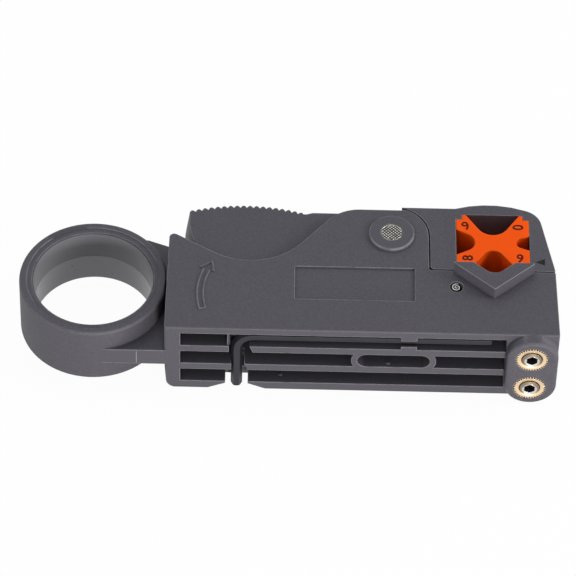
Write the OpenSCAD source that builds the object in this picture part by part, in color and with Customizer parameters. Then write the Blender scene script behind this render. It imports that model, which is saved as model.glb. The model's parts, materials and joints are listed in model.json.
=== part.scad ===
// Rotary coaxial cable stripper with a sprung jaw, a turnable V-block and two adjustable blades.
// The origin is the centre of the finger ring at mid thickness. +X runs along the body to the jaw,
// +Y points to the side of the thumb lever, and +Z comes up through the broad face.

/* [Finger ring] */
// Outer radius of the finger ring
ring_r = 14.85; // [14:0.05:20]
// Bore radius of the finger ring
ring_bore_r = 12.05; // [9:0.05:12.2]
// Height of the finger ring
ring_h = 13.8; // [9:0.1:17]
// Rounding of the ring's outer rims
ring_round = 0.6; // [0.4:0.1:1.4]
// Chamfer at both mouths of the ring's bore
ring_chamfer = 0.25; // [0.15:0.05:0.5]
// Width of the shallow step round the bore's upper mouth
ring_step_w = 1.2; // [0.8:0.1:1.5]
// Depth of that step
ring_step = 0.25; // [0.1:0.05:0.6]

/* [Neck] */
// Thickness of the web between the ring and the body
neck_t = 4.1; // [3:0.1:8]
// Distance from the ring's edge to the body's end
neck_gap = 0.2; // [0.1:0.1:4]
// Slit between the ring and the body above and below the web
neck_slit = 0.6; // [0.5:0.1:1.2]
// Length of the neck's straight back edge, from the ring's centre
neck_run = 10.6; // [6:0.1:12]
// Slope of the neck's back edge where it drops to the body
neck_slope = 21; // [10:1:30]

/* [Body] */
// Thickness of the body
body_t = 18.3; // [17.5:0.1:24]
// Distance from the body's end to the lever's pivot
pivot_along = 44.8; // [42:0.1:60]
// Distance from the ring's centre line up to the lever's pivot
pivot_up = 11.2; // [10:0.1:14]
// Distance along the body from the pivot to the cable
jaw_reach = 20.45; // [19.5:0.05:26]
// Distance along the body from the cable to the jaw end
end_reach = 12.45; // [12.35:0.05:16]
// How far the ribbed front face lies inside the ring's edge
front_inset = 0.12; // [0:0.02:2]
// Height of the jaw seat above the ring's centre line
seat_up = 1.9; // [1:0.1:3]
// Distance from the pivot up to the back edge of the side plates
back_up = 6.7; // [6:0.1:7.2]
// Thickness of each side plate beside the lever
cheek_t = 1.95; // [1.6:0.05:3]
// Thickness of the wall at the ring end of the lever slot
end_wall = 2; // [1.5:0.1:2.4]
// Thickness of the web between the lever slot and the front pockets
web_t = 2.1; // [1.5:0.1:3]
// Depth of the front pockets
pocket_depth = 7.4; // [6.5:0.1:7.6]
// Taper of the lower half of the body's ring end
end_draft = 0.5; // [0:0.1:1]
// How far the front corners stand out from the ends of the broad face
end_flare = 0.4; // [0.3:0.05:0.6]
// Rounding of the long edge between the front face and the broad face
edge_round = 0.3; // [0.2:0.1:1]
// Rounding of the long edge at the bottom of the front face
foot_round = 0.15; // [0.1:0.05:0.6]
// Rounding of the upright corner at the ring end
corner_round = 0.5; // [0.3:0.1:1.2]
// Rounding of the lower corner at the ring end
heel_round = 2.2; // [1:0.1:3]
// Rounding of the lower corner at the jaw end
toe_round = 4.8; // [1:0.1:5]

/* [Thumb scoop] */
// Radius of the scoop in the side plates
scoop_r = 13.75; // [10:0.05:18]
// Distance from the body's end to the middle of the scoop
scoop_along = 16.1; // [14:0.1:18]
// Height of the scoop's lowest point above the ring's centre line
scoop_up = 3.55; // [2:0.05:6]
// Slope of the scoop's edge towards the ring
scoop_near_slope = 31.4; // [24:0.1:36]
// Slope of the scoop's edge towards the pivot
scoop_far_slope = 50.1; // [44:0.1:56]
// Rounding where the scoop meets the back edge
scoop_shoulder_r = 8.3; // [3:0.1:9]

/* [Front ribs] */
// Thickness of the upper plate at the front face
skin_t = 1.65; // [1.4:0.05:2.2]
// Thickness of the lower plate at the front face
foot_t = 2.15; // [1.6:0.05:2.6]
// Thickness of the two long ribs
rib_t = 1.75; // [1.2:0.05:2.2]
// Wall at the ring end of the front pockets
pocket_wall = 2.8; // [1.5:0.1:4]
// Length of the obround cell between the ribs
cell_len = 17; // [10:0.1:24]
// Wall of the obround cell
cell_wall = 1.2; // [0.8:0.1:1.8]
// Distance from the pivot back to the middle of the obround cell
cell_along = 0.6; // [-4:0.1:4]

/* [Hex key] */
// Size of the hex key across its flats
key_flats = 2.0; // [1.5:0.1:2.5]
// Overall length of the key's long arm
key_long = 51.9; // [40:0.1:56]
// Overall length of the key's short arm
key_short = 16.1; // [12:0.1:16.1]
// Bend radius of the key at its middle line
key_bend_r = 3.4; // [2.5:0.1:5]
// Distance from the body's end to the key's short arm
key_along = 14.1; // [11:0.1:18]
// Depth of the key's middle line behind the front face
key_depth = 1.5; // [1.4:0.05:2.5]
// Clear gap round the stored key
key_gap = 0.45; // [0.3:0.05:0.5]
// Half width of the lower plate's notch for the key's short arm
notch_half = 2.25; // [1.8:0.05:3]
// Depth of that notch
notch_depth = 4.1; // [3.6:0.1:6.4]
// Length of the finger bevel on each side of the notch
notch_bevel = 3.7; // [1:0.1:5]
// Width of the two nibs that hold the key
nib_w = 3.15; // [2:0.05:5]
// Distance from the pivot to the middle of the nibs
nib_along = 3.5; // [-8:0.1:10]

/* [Lever] */
// Thickness of the lever between the side plates
lever_t = 13.9; // [11:0.1:15]
// Opening angle of the jaw with the thumb lever pressed in
open_angle = 12; // [6:1:12]
// Distance from the pivot to the thumb end of the lever
thumb_far = 41.85; // [38:0.05:42]
// Distance from the pivot to the near end of the thumb ridges
thumb_near = 16.85; // [15:0.05:24]
// Height of the thumb pad's crest above the pivot
thumb_up = 9.1; // [8.5:0.1:11]
// Radius of the thumb pad's crown
thumb_r = 39.5; // [30:0.5:60]
// Distance between the thumb ridges
ridge_pitch = 1.33; // [1:0.01:2]
// Depth of the thumb ridges
ridge_depth = 0.6; // [0.3:0.05:0.9]
// Height of the lever's back face above the pivot
lever_back = 7.45; // [7:0.05:8]
// Gap left under the thumb end with the lever pressed in
lever_stop = 0.25; // [0.2:0.05:1]
// Radius of the side plates' corner round the pivot
hub_r = 7.45; // [6.8:0.05:8]
// Wall of the cored-out lever
core_wall = 2; // [1.4:0.1:3]
// Rise of the jaw's crown above its back face
crown_rise = 1.15; // [0.5:0.05:2]

/* [Pivot] */
// Diameter of the pivot pin
pin_d = 4.4; // [3:0.1:5]
// Diameter of the raised boss round the pin
boss_d = 9.3; // [7:0.05:11]
// Height of the raised boss
boss_h = 0.8; // [0.3:0.1:1.5]

/* [V-block] */
// Side of the four-way block
block_w = 14.7; // [13:0.1:15.5]
// Side of the square key cut from each corner of the block
block_key = 1.15; // [0.8:0.05:2]
// Distance from the cable's axis line to each end of the cradle
cradle_half = 8.35; // [6:0.05:9]
// Slope of the cradle's two flanks
vee_slope = 40.5; // [35:0.5:45]
// Half width of the cradle's open V at the seat
vee_half = 4.2; // [3:0.05:5]
// Rounding at the bottom of the V
vee_round = 2.6; // [1:0.1:3]
// Height of the raised cradle above the broad face
cradle_h = 2.8; // [1:0.1:4]

/* [Blades] */
// Distance between the two blades along the cable
blade_pitch = 8.6; // [8:0.1:9.4]
// Distance from the cable's axis to the set screw, and to the arm pin
arm_reach = 7.5; // [7:0.1:7.8]
// Depth of the arm pin below the jaw seat
arm_pin_down = 4.3; // [3.5:0.1:5]
// Diameter of the arm pin
arm_pin_d = 2.3; // [1.6:0.1:3]
// Thickness of each blade arm
arm_t = 3.6; // [2.4:0.1:3.8]
// Thickness of each blade
blade_t = 0.6; // [0.4:0.05:0.8]
// Width of each blade
blade_w = 7; // [5:0.1:8]
// How far the cutting edge stands above the bottom of the V
blade_bite = 1.1; // [0.5:0.05:2]

/* [Set screws and inserts] */
// Diameter of the set screws
screw_d = 3.9; // [3:0.1:4]
// Size of the screws' hexagon sockets across the flats
socket_flats = 2.0; // [1.5:0.1:2.5]
// Depth of the sockets
socket_depth = 2.4; // [1.5:0.1:3]
// How far each set screw stands proud of its insert
screw_proud = 0.45; // [0:0.05:1]
// Outer diameter of the knurled inserts
insert_d = 6.5; // [6:0.1:7.4]
// Length of the inserts
insert_len = 7.5; // [5:0.1:8]
// Number of teeth on the inserts' knurl
insert_teeth = 36; // [24:1:48]
// Width of the screw boss on the front face
pad_w = 10.3; // [9:0.1:11]
// How far the screw boss stands out of the front face
pad_proud = 2.35; // [1.5:0.05:3]
// Rounding of the screw boss's front edge
pad_round = 0.7; // [0.3:0.1:1.2]

/* [Spring] */
// Wire diameter of the lever spring
spring_wire = 0.9; // [0.6:0.05:1]
// Outer diameter of the lever spring
spring_d = 7; // [6:0.1:8]
// Number of turns of the lever spring
spring_turns = 6; // [4:0.5:6]
// Distance from the pivot to the spring's axis
spring_along = 23.8; // [20:0.1:26]

/* [Clearances] */
// Gap between the jaw and the body
jaw_gap = 0.3; // [0.2:0.05:0.6]
// Gap on each side of the lever between the side plates
lever_gap = 0.25; // [0.15:0.05:0.5]
// Radial gap of a pin in the part that turns on it
turn_gap = 0.05; // [0.02:0.01:0.1]
// Radial gap of a part that stays in its seat
seat_gap = 0.02; // [0.01:0.01:0.05]
// Gap round the V-block in its window
block_gap = 0.08; // [0.05:0.01:0.2]

/* [Hidden] */

$fn = 64;
past = 1;
body_grey = [0.30, 0.30, 0.33];
block_orange = [0.95, 0.33, 0.06];
steel = [0.75, 0.75, 0.77];
gold_brass = [0.86, 0.70, 0.42];
key_black = [0.16, 0.16, 0.18];

half_t = body_t / 2;
body_x = ring_r + neck_gap;
front_y = -(ring_r - front_inset);
pivot_x = body_x + pivot_along;
pivot_y = pivot_up;
cable_x = pivot_x + jaw_reach;
end_x = cable_x + end_reach;
seat_y = seat_up;
back_y = pivot_y + back_up;
heel_x = pivot_x + hub_r + 0.05;
slot_half = half_t - cheek_t;
lever_half = min(lever_t / 2, slot_half - lever_gap);
floor_y = front_y + pocket_depth + web_t;
slot_x = body_x + end_wall;

pocket_x = body_x + pocket_wall;
pad_x = cable_x + arm_reach + 0.15;
pocket_end_x = pad_x - pad_w / 2 - 0.05;
pad_root = 1.5;
slot_h = (body_t - skin_t - foot_t - 2 * rib_t) / 3;
cell_x = pivot_x + cell_along;

key_x = body_x + key_along;
key_y = front_y + key_depth;
key_corner = key_flats / 2 / cos(30);
key_z = half_t - skin_t - key_gap - key_corner;

block_y = seat_y + 0.4 + block_w / 2;
vee_low = seat_y - vee_half * tan(vee_slope) + vee_round * (1 / cos(vee_slope) - 1);

pin_r = pin_d / 2;
arm_pin_x = cable_x - arm_reach;
arm_pin_y = seat_y - arm_pin_down;
screw_x = cable_x + arm_reach;
screw_r = screw_d / 2;
blade_z = blade_pitch / 2;
arm_slot_half = arm_t / 2 + 0.2;
arm_hub_r = arm_pin_d / 2 + 1.35;
arm_under_y = arm_pin_y - arm_hub_r;
arm_floor_y = arm_under_y - 0.6;
arm_top_y = vee_low - 1.3;
blade_foot_y = arm_under_y + 0.5;
rivet_r = 0.75;
rivet_y = (blade_foot_y + arm_top_y) / 2;
insert_face_y = front_y - pad_proud;
pad_trim = 0.02;
pad_raw_y = insert_face_y - pad_trim;
spring_x = pivot_x - spring_along;
spring_r = spring_d / 2;
stud_r = spring_r - spring_wire - 0.3;
thumb_land = 1.4;
thumb_foot = thumb_far - 4.5;
lever_under_y = floor_y + thumb_foot * sin(open_angle) + lever_stop;
spring_seat_y = lever_under_y + 2.9;

// Vector v at length one
function unit(v) = v / norm(v);

// Where the line through p along d crosses the line through q along e
function meet(p, d, q, e) = p + d * (cross(q - p, e) / cross(d, e));

// Arc that rounds the corner b = [x, y, radius] between its neighbours a and c
function corner(a, b, c) =
    let (
        at = [b.x, b.y],
        u = unit([a.x, a.y] - at),
        v = unit([c.x, c.y] - at),
        half = acos(u * v) / 2,
        centre = at + unit(u + v) * b.z / sin(half),
        p = at + u * b.z / tan(half) - centre,
        q = at + v * b.z / tan(half) - centre,
        sweep = atan2(cross(p, q), p * q),
        first = atan2(p.y, p.x),
        steps = max(3, ceil(abs(sweep) / 9))
    )
    b.z < 0.01 ? [at] : [for (i = [0:steps]) centre
        + b.z * [cos(first + sweep * i / steps), sin(first + sweep * i / steps)]];

// Closed outline through the corners c = [[x, y, radius], ...]
function rounded(c) =
    let (n = len(c))
    [for (i = [0:n - 1]) each corner(c[(i + n - 1) % n], c[i], c[(i + 1) % n])];

// Lays an outline drawn in X and Z along Y, from y0 to y1
module along_y(y0, y1) {
    translate([0, y1, 0])
        rotate([90, 0, 0])
            linear_extrude(y1 - y0) children();
}

// Upright bar from z0 to z1 with an outline in X and Y
module upright(z0, z1) {
    translate([0, 0, z0]) linear_extrude(z1 - z0) children();
}

// Round bar along Z at [x, y]
module bar_z(x, y, r, z0, z1) {
    translate([x, y, z0]) cylinder(h = z1 - z0, r = r);
}

// Round bar along Y at [x, z]
module bar_y(x, z, r, y0, y1) {
    translate([x, y1, z]) rotate([90, 0, 0]) cylinder(h = y1 - y0, r = r);
}

// Corners of the scoop's edge: ring end, bottom and shoulder
function scoop_corners() =
    let (
        centre = [body_x + scoop_along, scoop_up + scoop_r],
        near = [cos(scoop_near_slope), -sin(scoop_near_slope)],
        far = [cos(scoop_far_slope), sin(scoop_far_slope)],
        near_foot = centre + scoop_r * [near.y, -near.x],
        far_foot = centre + scoop_r * [far.y, -far.x],
        tip = meet(near_foot, near, [body_x, 0], [0, 1]),
        bottom = meet(near_foot, near, far_foot, far),
        shoulder = meet(far_foot, far, [0, back_y], [1, 0])
    )
    [[shoulder.x, shoulder.y, scoop_shoulder_r], [bottom.x, bottom.y, scoop_r], [tip.x, tip.y, 1]];

// Outline of the body from above, with the round corner beside the jaw
module body_plan() {
    difference() {
        polygon(rounded(concat(
            [[body_x - end_flare, front_y, corner_round],
             [end_x + end_flare, front_y, edge_round],
             [end_x, seat_y, 0.3],
             [heel_x, seat_y, 0.5],
             [heel_x, back_y, 0]],
            scoop_corners())));
        translate([pivot_x, pivot_y]) difference() {
            square(hub_r + past);
            circle(hub_r);
        }
    }
}

// Outline of the body and the jaw from the front, whose lower half is tapered at the ring end
module front_outline() {
    left = body_x - end_flare;
    right = end_x + end_flare;
    blend_r = 30;
    polygon(rounded([
        [left, half_t, 0.1],
        [left, -1, blend_r],
        [left + end_draft, -half_t, heel_round],
        [right, -half_t, toe_round],
        [right, half_t, 0.1]]));
}

// Outline of the body from its end, with the rounded long edges
module end_outline() {
    polygon(rounded([
        [front_y, half_t, edge_round],
        [front_y, -half_t, foot_round],
        [back_y + past, -half_t, 0],
        [back_y + past, half_t, 0]]));
}

// Solid outer form of the body before it is cored
module body_block() {
    intersection() {
        upright(-half_t, half_t) body_plan();
        along_y(front_y - past, back_y + past) front_outline();
        translate([body_x - past, 0, 0])
            rotate([90, 0, 90])
                linear_extrude(end_x - body_x + 2 * past + 1) end_outline();
    }
}

// Finger ring with rounded rims and a flat beside the body
module finger_ring() {
    difference() {
        rotate_extrude($fn = 96) polygon(rounded([
            [ring_bore_r - past, -ring_h / 2, 0],
            [ring_r, -ring_h / 2, ring_round],
            [ring_r, ring_h / 2, ring_round],
            [ring_bore_r - past, ring_h / 2, 0]]));
        translate([body_x - neck_slit, -ring_r, -ring_h]) cube([2 * neck_slit, 2 * ring_r, 2 * ring_h]);
    }
}

// Bore of the finger ring, chamfered at both mouths, with the step round the upper one
module ring_bore() {
    step_z = ring_h / 2 - ring_step;
    step_r = ring_bore_r + ring_step_w;
    rotate_extrude($fn = 96) polygon([
        [0, -ring_h / 2 - past],
        [ring_bore_r + ring_chamfer + past, -ring_h / 2 - past],
        [ring_bore_r, -ring_h / 2 + ring_chamfer],
        [ring_bore_r, step_z - ring_chamfer],
        [ring_bore_r + ring_chamfer, step_z],
        [step_r, step_z],
        [step_r + ring_step / 2, ring_h / 2],
        [step_r + ring_step / 2, ring_h / 2 + past],
        [0, ring_h / 2 + past]]);
}

// Web that joins the ring to the body
module neck() {
    back = ring_r - 0.25;
    drop = (slot_x - neck_run) * tan(neck_slope);
    upright(-neck_t / 2, neck_t / 2) polygon([
        [0, front_y],
        [body_x + past, front_y],
        [slot_x, back - drop],
        [neck_run, back],
        [0, back]]);
}

// Space between the side plates in which the lever swings
module lever_slot() {
    hub_floor = pivot_y - hub_r - 0.3;
    upright(-slot_half, slot_half) polygon(rounded([
        [slot_x, back_y + 2 * past, 0],
        [slot_x, floor_y, 1.2],
        [pivot_x - hub_r - 0.5, floor_y, 2],
        [pivot_x - hub_r + 4.5, hub_floor, 2],
        [heel_x + past, hub_floor, 0],
        [heel_x + past, back_y + 2 * past, 0]]));
}

// Round-ended outline in the middle slot, with end radius r
module cell_outline(r) {
    reach = cell_len / 2 - cell_wall - slot_h / 2;
    translate([cell_x, slot_z(1)]) {
        translate([-reach, 0]) circle(r);
        translate([reach, 0]) circle(r);
        translate([-reach, -r]) square([2 * reach, 2 * r]);
    }
}

// Level of the middle of front slot k, counted up from the lowest
function slot_z(k) = -half_t + foot_t + slot_h / 2 + k * (slot_h + rib_t);

// One front pocket
module front_pocket(k) {
    translate([pocket_x, front_y - past, slot_z(k) - slot_h / 2])
        cube([pocket_end_x - pocket_x, pocket_depth + past, slot_h]);
}

// Thin wall that closes the upper pocket beside the key's bend
module key_partition() {
    wall = 0.6;
    translate([key_x - 1.95, front_y + 0.3, half_t - skin_t - slot_h - 0.1])
        cube([wall, pocket_depth, slot_h + 0.2]);
}

// All three front pockets, with the obround cell and the partition left standing
module front_pockets() {
    difference() {
        for (k = [0:2]) front_pocket(k);
        key_partition();
        along_y(front_y - past, floor_y) intersection() {
            difference() {
                cell_outline(slot_h / 2 + cell_wall);
                cell_outline(slot_h / 2);
            }
            translate([cell_x - cell_len, slot_z(1) - slot_h / 2 - 0.1]) square([2 * cell_len, slot_h + 0.2]);
        }
    }
}

// Notch in the ribs and the lower plate for the key's short arm, with finger bevels
module key_notch() {
    upper_z = half_t - skin_t - slot_h;
    lower_z = -half_t + foot_t + slot_h;
    bevel_z = -half_t + foot_t - 0.55;
    along_y(front_y - past, front_y + notch_depth) {
        polygon([
            [key_x - 1.62, upper_z + 0.1],
            [key_x - 1.62, upper_z - rib_t - 0.1],
            [key_x + 3.2, upper_z - rib_t - 0.1],
            [key_x + 2.5, upper_z + 0.1]]);
        polygon([
            [key_x - 1.1, lower_z + rib_t + 0.1],
            [key_x - 1.1, lower_z - 0.1],
            [key_x + 2.2, lower_z - 0.1],
            [key_x + 1.45, lower_z + rib_t + 0.1]]);
        polygon([
            [key_x - notch_half, bevel_z + 1],
            [key_x - notch_half, bevel_z],
            [key_x - notch_half - notch_bevel, -half_t],
            [key_x - notch_half - notch_bevel, -half_t - past],
            [key_x + notch_half + notch_bevel, -half_t - past],
            [key_x + notch_half + notch_bevel, -half_t],
            [key_x + notch_half, bevel_z],
            [key_x + notch_half, bevel_z + 1]]);
    }
}

// Nibs in front of the stored key and the rest behind it
module key_nibs() {
    nib_x = pivot_x + nib_along - nib_w / 2;
    nib_y = key_depth - key_flats / 2 - 0.05;
    lip = key_corner * 0.9;
    plate_z = half_t - skin_t;
    rib_z = plate_z - slot_h;
    translate([nib_x, front_y, plate_z - lip]) cube([nib_w, nib_y, lip + 0.1]);
    translate([nib_x, front_y, rib_z - 0.1]) cube([nib_w, nib_y, 0.95]);
    translate([nib_x, key_y + key_flats / 2 + 0.05, rib_z - 0.1])
        cube([nib_w, pocket_depth - key_depth - key_flats / 2, slot_h + 0.2]);
}

// Disc with a rounded front edge, facing -Y at level z
module pad_disc(x, z, r) {
    translate([x, 0, z])
        rotate([90, 0, 0])
            rotate_extrude() polygon(rounded([
                [0, -front_y - pad_root, 0],
                [r, -front_y - pad_root, 0],
                [r, -pad_raw_y, pad_round],
                [0, -pad_raw_y, 0]]));
}

// Raised round-ended boss that carries the inserts, with a trimmed front
module screw_pad() {
    r = pad_w / 2;
    z = half_t - r;
    difference() {
        for (side = [-1, 1]) {
            pad_disc(pad_x, side * z, r);
            translate([pad_x, 0, -z]) linear_extrude(2 * z) polygon(rounded([
                [0, front_y + pad_root, 0],
                [0, pad_raw_y, 0],
                [side * r, pad_raw_y, pad_round],
                [side * r, front_y + pad_root, 0]]));
        }
        translate([pad_x - pad_w, pad_raw_y - past, -body_t])
            cube([2 * pad_w, past + pad_trim, 2 * body_t]);
    }
}

// Outline of the open V, reaching well above the seat
module vee_outline() {
    rise = 3;
    wide = vee_half + rise / tan(vee_slope);
    polygon(rounded([
        [cable_x, seat_y - vee_half * tan(vee_slope), vee_round],
        [cable_x + wide, seat_y + rise, 0],
        [cable_x - wide, seat_y + rise, 0]]));
}

// Raised V-shaped cradle on the broad face
module cradle() {
    upright(half_t - 0.5, half_t + cradle_h) difference() {
        polygon(rounded([
            [cable_x - cradle_half, seat_y, 0.15],
            [cable_x, seat_y - cradle_half * tan(vee_slope), 0.3],
            [cable_x + cradle_half, seat_y, 0.15]]));
        vee_outline();
    }
}

// Slot for one blade arm at level z
module arm_slot(z) {
    upright(z - arm_slot_half, z + arm_slot_half) polygon(rounded([
        [arm_pin_x - arm_hub_r - 0.4, seat_y + past, 0],
        [arm_pin_x - arm_hub_r - 0.4, arm_floor_y, 1],
        [screw_x + 3, arm_floor_y, 1],
        [screw_x + 3, seat_y + past, 0]]));
}

// Seat for one insert and the way for its screw, at level z
module insert_seat(z) {
    bar_y(screw_x, z, insert_d / 2 + seat_gap, insert_face_y - past, insert_face_y + insert_len + 0.1);
    bar_y(screw_x, z, screw_r + 0.2, insert_face_y, arm_floor_y + past);
}

// Shallow blank panel on the broad face
module panel_recess() {
    depth = 0.4;
    length = 24;
    width = 8.65;
    from_pivot = 19.4;
    from_front = 8.3;
    translate([pivot_x - from_pivot, front_y + from_front, half_t - depth])
        cube([length, width, depth + past]);
}

// Raised outline of the arrow that shows which way the tool turns
module turn_arrow() {
    rise = 0.2;
    line = 0.3;
    upright(half_t - 0.1, half_t + rise) difference() {
        arrow_outline(0);
        arrow_outline(line);
    }
}

// Bent arrow, drawn a distance t inside its edge
module arrow_outline(t) {
    bend_r = 16;
    centre = [body_x + bend_r + 6.5, -5.3];
    half = 0.75 - t;
    head = 1.76 - 1.9 * t;
    tail_a = 195.7 - 3.6 * t;
    base_a = 157.7 + 1.2 * t;
    tip_a = 148.5 + 6 * t;
    steps = 8;
    turns = [for (i = [0:steps]) tail_a + (base_a - tail_a) * i / steps];
    polygon(concat(
        [for (a = turns) centre + (bend_r + half) * [cos(a), sin(a)]],
        [centre + (bend_r + head) * [cos(base_a), sin(base_a)],
         centre + bend_r * [cos(tip_a), sin(tip_a)],
         centre + (bend_r - head) * [cos(base_a), sin(base_a)]],
        [for (i = [steps:-1:0]) centre + (bend_r - half) * [cos(turns[i]), sin(turns[i])]]));
}

// Raised round boss with a soft rim, for the head of the pivot pin
module pivot_boss() {
    translate([pivot_x, pivot_y, half_t]) rotate_extrude() polygon(rounded([
        [0, -0.5, 0],
        [boss_d / 2, -0.5, 0],
        [boss_d / 2, boss_h, 0.45],
        [0, boss_h, 0]]));
}

// Moulded body with its ring, side plates, ribs, cradle and screw boss
module body() {
    color(body_grey) difference() {
        union() {
            difference() {
                body_block();
                lever_slot();
                front_pockets();
                key_notch();
            }
            neck();
            finger_ring();
            screw_pad();
            cradle();
            key_nibs();
            turn_arrow();
            pivot_boss();
            spring_stud(floor_y, floor_y + 2);
        }
        ring_bore();
        upright(-half_t - past, half_t + cradle_h + past) vee_outline();
        for (z = [-blade_z, blade_z]) {
            arm_slot(z);
            insert_seat(z);
        }
        bar_z(pivot_x, pivot_y, pin_r + seat_gap, -half_t - past, half_t + boss_h + past);
        bar_z(arm_pin_x, arm_pin_y, arm_pin_d / 2 + seat_gap, -half_t - past, half_t + past);
        bar_z(arm_pin_x, arm_pin_y, arm_pin_d / 2 + 0.2, half_t - 0.5, half_t + past);
        panel_recess();
    }
}

// Stud that keeps the lever spring in place, from y0 to y1
module spring_stud(y0, y1) {
    bar_y(spring_x, 0, stud_r, y0 - 0.1, y1 + 0.1);
}

// Ridged thumb edge of the lever, from the jaw side to the ring side
function thumb_ridges() =
    let (
        centre = [pivot_x - (thumb_far + thumb_near) / 2, pivot_y + thumb_up - thumb_r],
        reach = asin((thumb_far - thumb_near - thumb_land) / 2 / thumb_r),
        count = round(2 * reach * PI / 180 * thumb_r / ridge_pitch),
        steps = 5
    )
    [for (k = [0:count - 1], j = [0:steps - 1])
        let (
            a = reach - 2 * reach * (k + j / steps) / count,
            r = thumb_r - ridge_depth * (1 - sin(180 * j / steps))
        )
        centre + r * [sin(a), cos(a)]];

// Corners of the lever's bowed thumb end, from the top down
function thumb_end() =
    let (bow_r = 16)
    [[pivot_x - thumb_far, pivot_y + lever_back - 0.25, 0.4],
     [pivot_x - thumb_far, pivot_y + 1.6, bow_r],
     [pivot_x - thumb_foot, lever_under_y, 1.2]];

// Outline of the lever between the side plates
module lever_outline() {
    back = pivot_y + lever_back;
    head_x = heel_x + jaw_gap;
    ridge_end_x = pivot_x - thumb_near;
    polygon(rounded(concat(
        [[ridge_end_x - 0.3, back - 0.4, 0]],
        thumb_end(),
        [[pivot_x - hub_r - 2, lever_under_y + 0.2, 3],
         [pivot_x - hub_r + 3.5, pivot_y - hub_r + 1.2, 2],
         [head_x + past, pivot_y - hub_r + 0.6, 0],
         [head_x + past, back, 0],
         [ridge_end_x + 0.9, back, 0.2]])));
    polygon(concat(
        [[ridge_end_x - 0.3, pivot_y]],
        thumb_ridges(),
        [[pivot_x - thumb_far + 0.6, back - 1], [pivot_x - thumb_far + 0.6, pivot_y]]));
}

// Outline of the full-thickness jaw head
module head_outline() {
    left = heel_x + jaw_gap;
    under = seat_y + jaw_gap;
    back = pivot_y + lever_back;
    crown_r = 21.3;
    crown_half = acos(1 - crown_rise / crown_r);
    crown_x = cable_x - 0.6;
    crown_top = back + crown_rise;
    near_foot = [crown_x - crown_r * sin(crown_half), back];
    fall = 20;
    far_foot = [crown_x + crown_r * sin(fall), crown_top - crown_r * (1 - cos(fall))];
    top = meet(near_foot, [cos(crown_half), sin(crown_half)], far_foot, [-cos(fall), sin(fall)]);
    side_lean = 11.3;
    brow = meet([end_x, under], [-sin(side_lean), cos(side_lean)], far_foot, [cos(fall), -sin(fall)]);
    step_x = pivot_x + 2.1;
    difference() {
        polygon(rounded([
            [left, under, 0.8],
            [end_x, under, 0.3],
            [brow.x, brow.y, 4.5],
            [top.x, top.y, crown_r],
            [near_foot.x, near_foot.y, 1],
            [step_x, back, 0],
            [step_x, pivot_y, 0],
            [left, pivot_y, 0]]));
        translate([pivot_x, pivot_y]) circle(hub_r + jaw_gap);
    }
}

// Square with a key cut from each corner, centred on the block
module block_square(w, key) {
    translate([cable_x, block_y]) {
        square([w, w - 2 * key], center = true);
        square([w - 2 * key, w], center = true);
    }
}

// Lever with its ridged thumb pad, hub and jaw head, in one moulding
module jaw_lever() {
    window_w = block_w + 2 * block_gap;
    core_floor = pivot_y + thumb_up - core_wall - 2.2;
    color(body_grey) difference() {
        union() {
            difference() {
                union() {
                    upright(-lever_half, lever_half) lever_outline();
                    bar_z(pivot_x, pivot_y, hub_r - 0.75, -lever_half, lever_half);
                }
                thumb_flare();
                difference() {
                    translate([pivot_x - thumb_far + 4, lever_under_y - past, -lever_half + core_wall])
                        cube([thumb_far - hub_r - 7.5, core_floor - lever_under_y + past,
                            2 * (lever_half - core_wall)]);
                    bar_y(spring_x, 0, spring_r + 0.4, spring_seat_y, core_floor + past);
                    translate([spring_x - 0.8, lever_under_y, -lever_half])
                        cube([1.6, core_floor, 2 * lever_half]);
                }
                bar_y(spring_x, 0, spring_r + 0.4, lever_under_y - past, spring_seat_y);
            }
            spring_stud(spring_seat_y - 2, spring_seat_y);
            intersection() {
                upright(-half_t, half_t) head_outline();
                along_y(seat_y, pivot_y + thumb_up + past) front_outline();
            }
        }
        upright(-half_t - past, half_t + past) block_square(window_w, block_key + block_gap);
        upright(-half_t - past, half_t + past)
            translate([cable_x, seat_y])
                square([window_w - 2 * block_key - 2 * block_gap, 6], center = true);
        bar_z(pivot_x, pivot_y, pin_r + turn_gap, -lever_half - past, lever_half + past);
    }
}

// Cuts that lean the lever's bowed thumb end back towards both broad faces
module thumb_flare() {
    lean = 7.7;
    reach = 6;
    end = thumb_end();
    top_y = pivot_y + thumb_up + 2 * past;
    for (side = [-1, 1])
        translate([end[0].x, 0, 0])
            rotate([0, side * lean, 0])
                translate([-end[0].x, 0, side > 0 ? 0 : -body_t])
                    linear_extrude(body_t) polygon(rounded([
                        [end[0].x - reach, lever_under_y - past, 0],
                        [end[0].x - reach, top_y, 0],
                        [end[0].x, top_y, 0],
                        end[1],
                        [end[2].x, end[2].y, 0],
                        [end[2].x, lever_under_y - past, 0]]));
}

// Depth of the sharp V whose bottom, rounded to radius r, lies at the given depth
function sharp_depth(half, depth, r) =
    let (
        a = 1 - pow(r / half, 2),
        b = depth - r,
        c = r * r - b * b
    )
    (b + sqrt(b * b + a * c)) / a;

// One notch of the block: a round-bottomed V whose mouth lies on the X axis
module block_notch(half, depth, r) {
    polygon(rounded([
        [half, 0, 0],
        [half, past, 0],
        [-half, past, 0],
        [-half, 0, 0],
        [0, -sharp_depth(half, depth, r), r]]));
}

// Four-way block with a notch of a different size in each side
module v_block() {
    notches = [[5.4, 5.3, 3.4], [3.4, 3.75, 2.4], [4.95, 5.2, 2.3], [1.95, 2.65, 1.4]];
    color(block_orange) upright(-half_t, half_t) difference() {
        block_square(block_w, block_key + block_gap);
        for (k = [0:3])
            translate([cable_x, block_y])
                rotate(90 * k)
                    translate([0, block_w / 2])
                        block_notch(notches[k][0], notches[k][1], notches[k][2]);
    }
}

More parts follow.
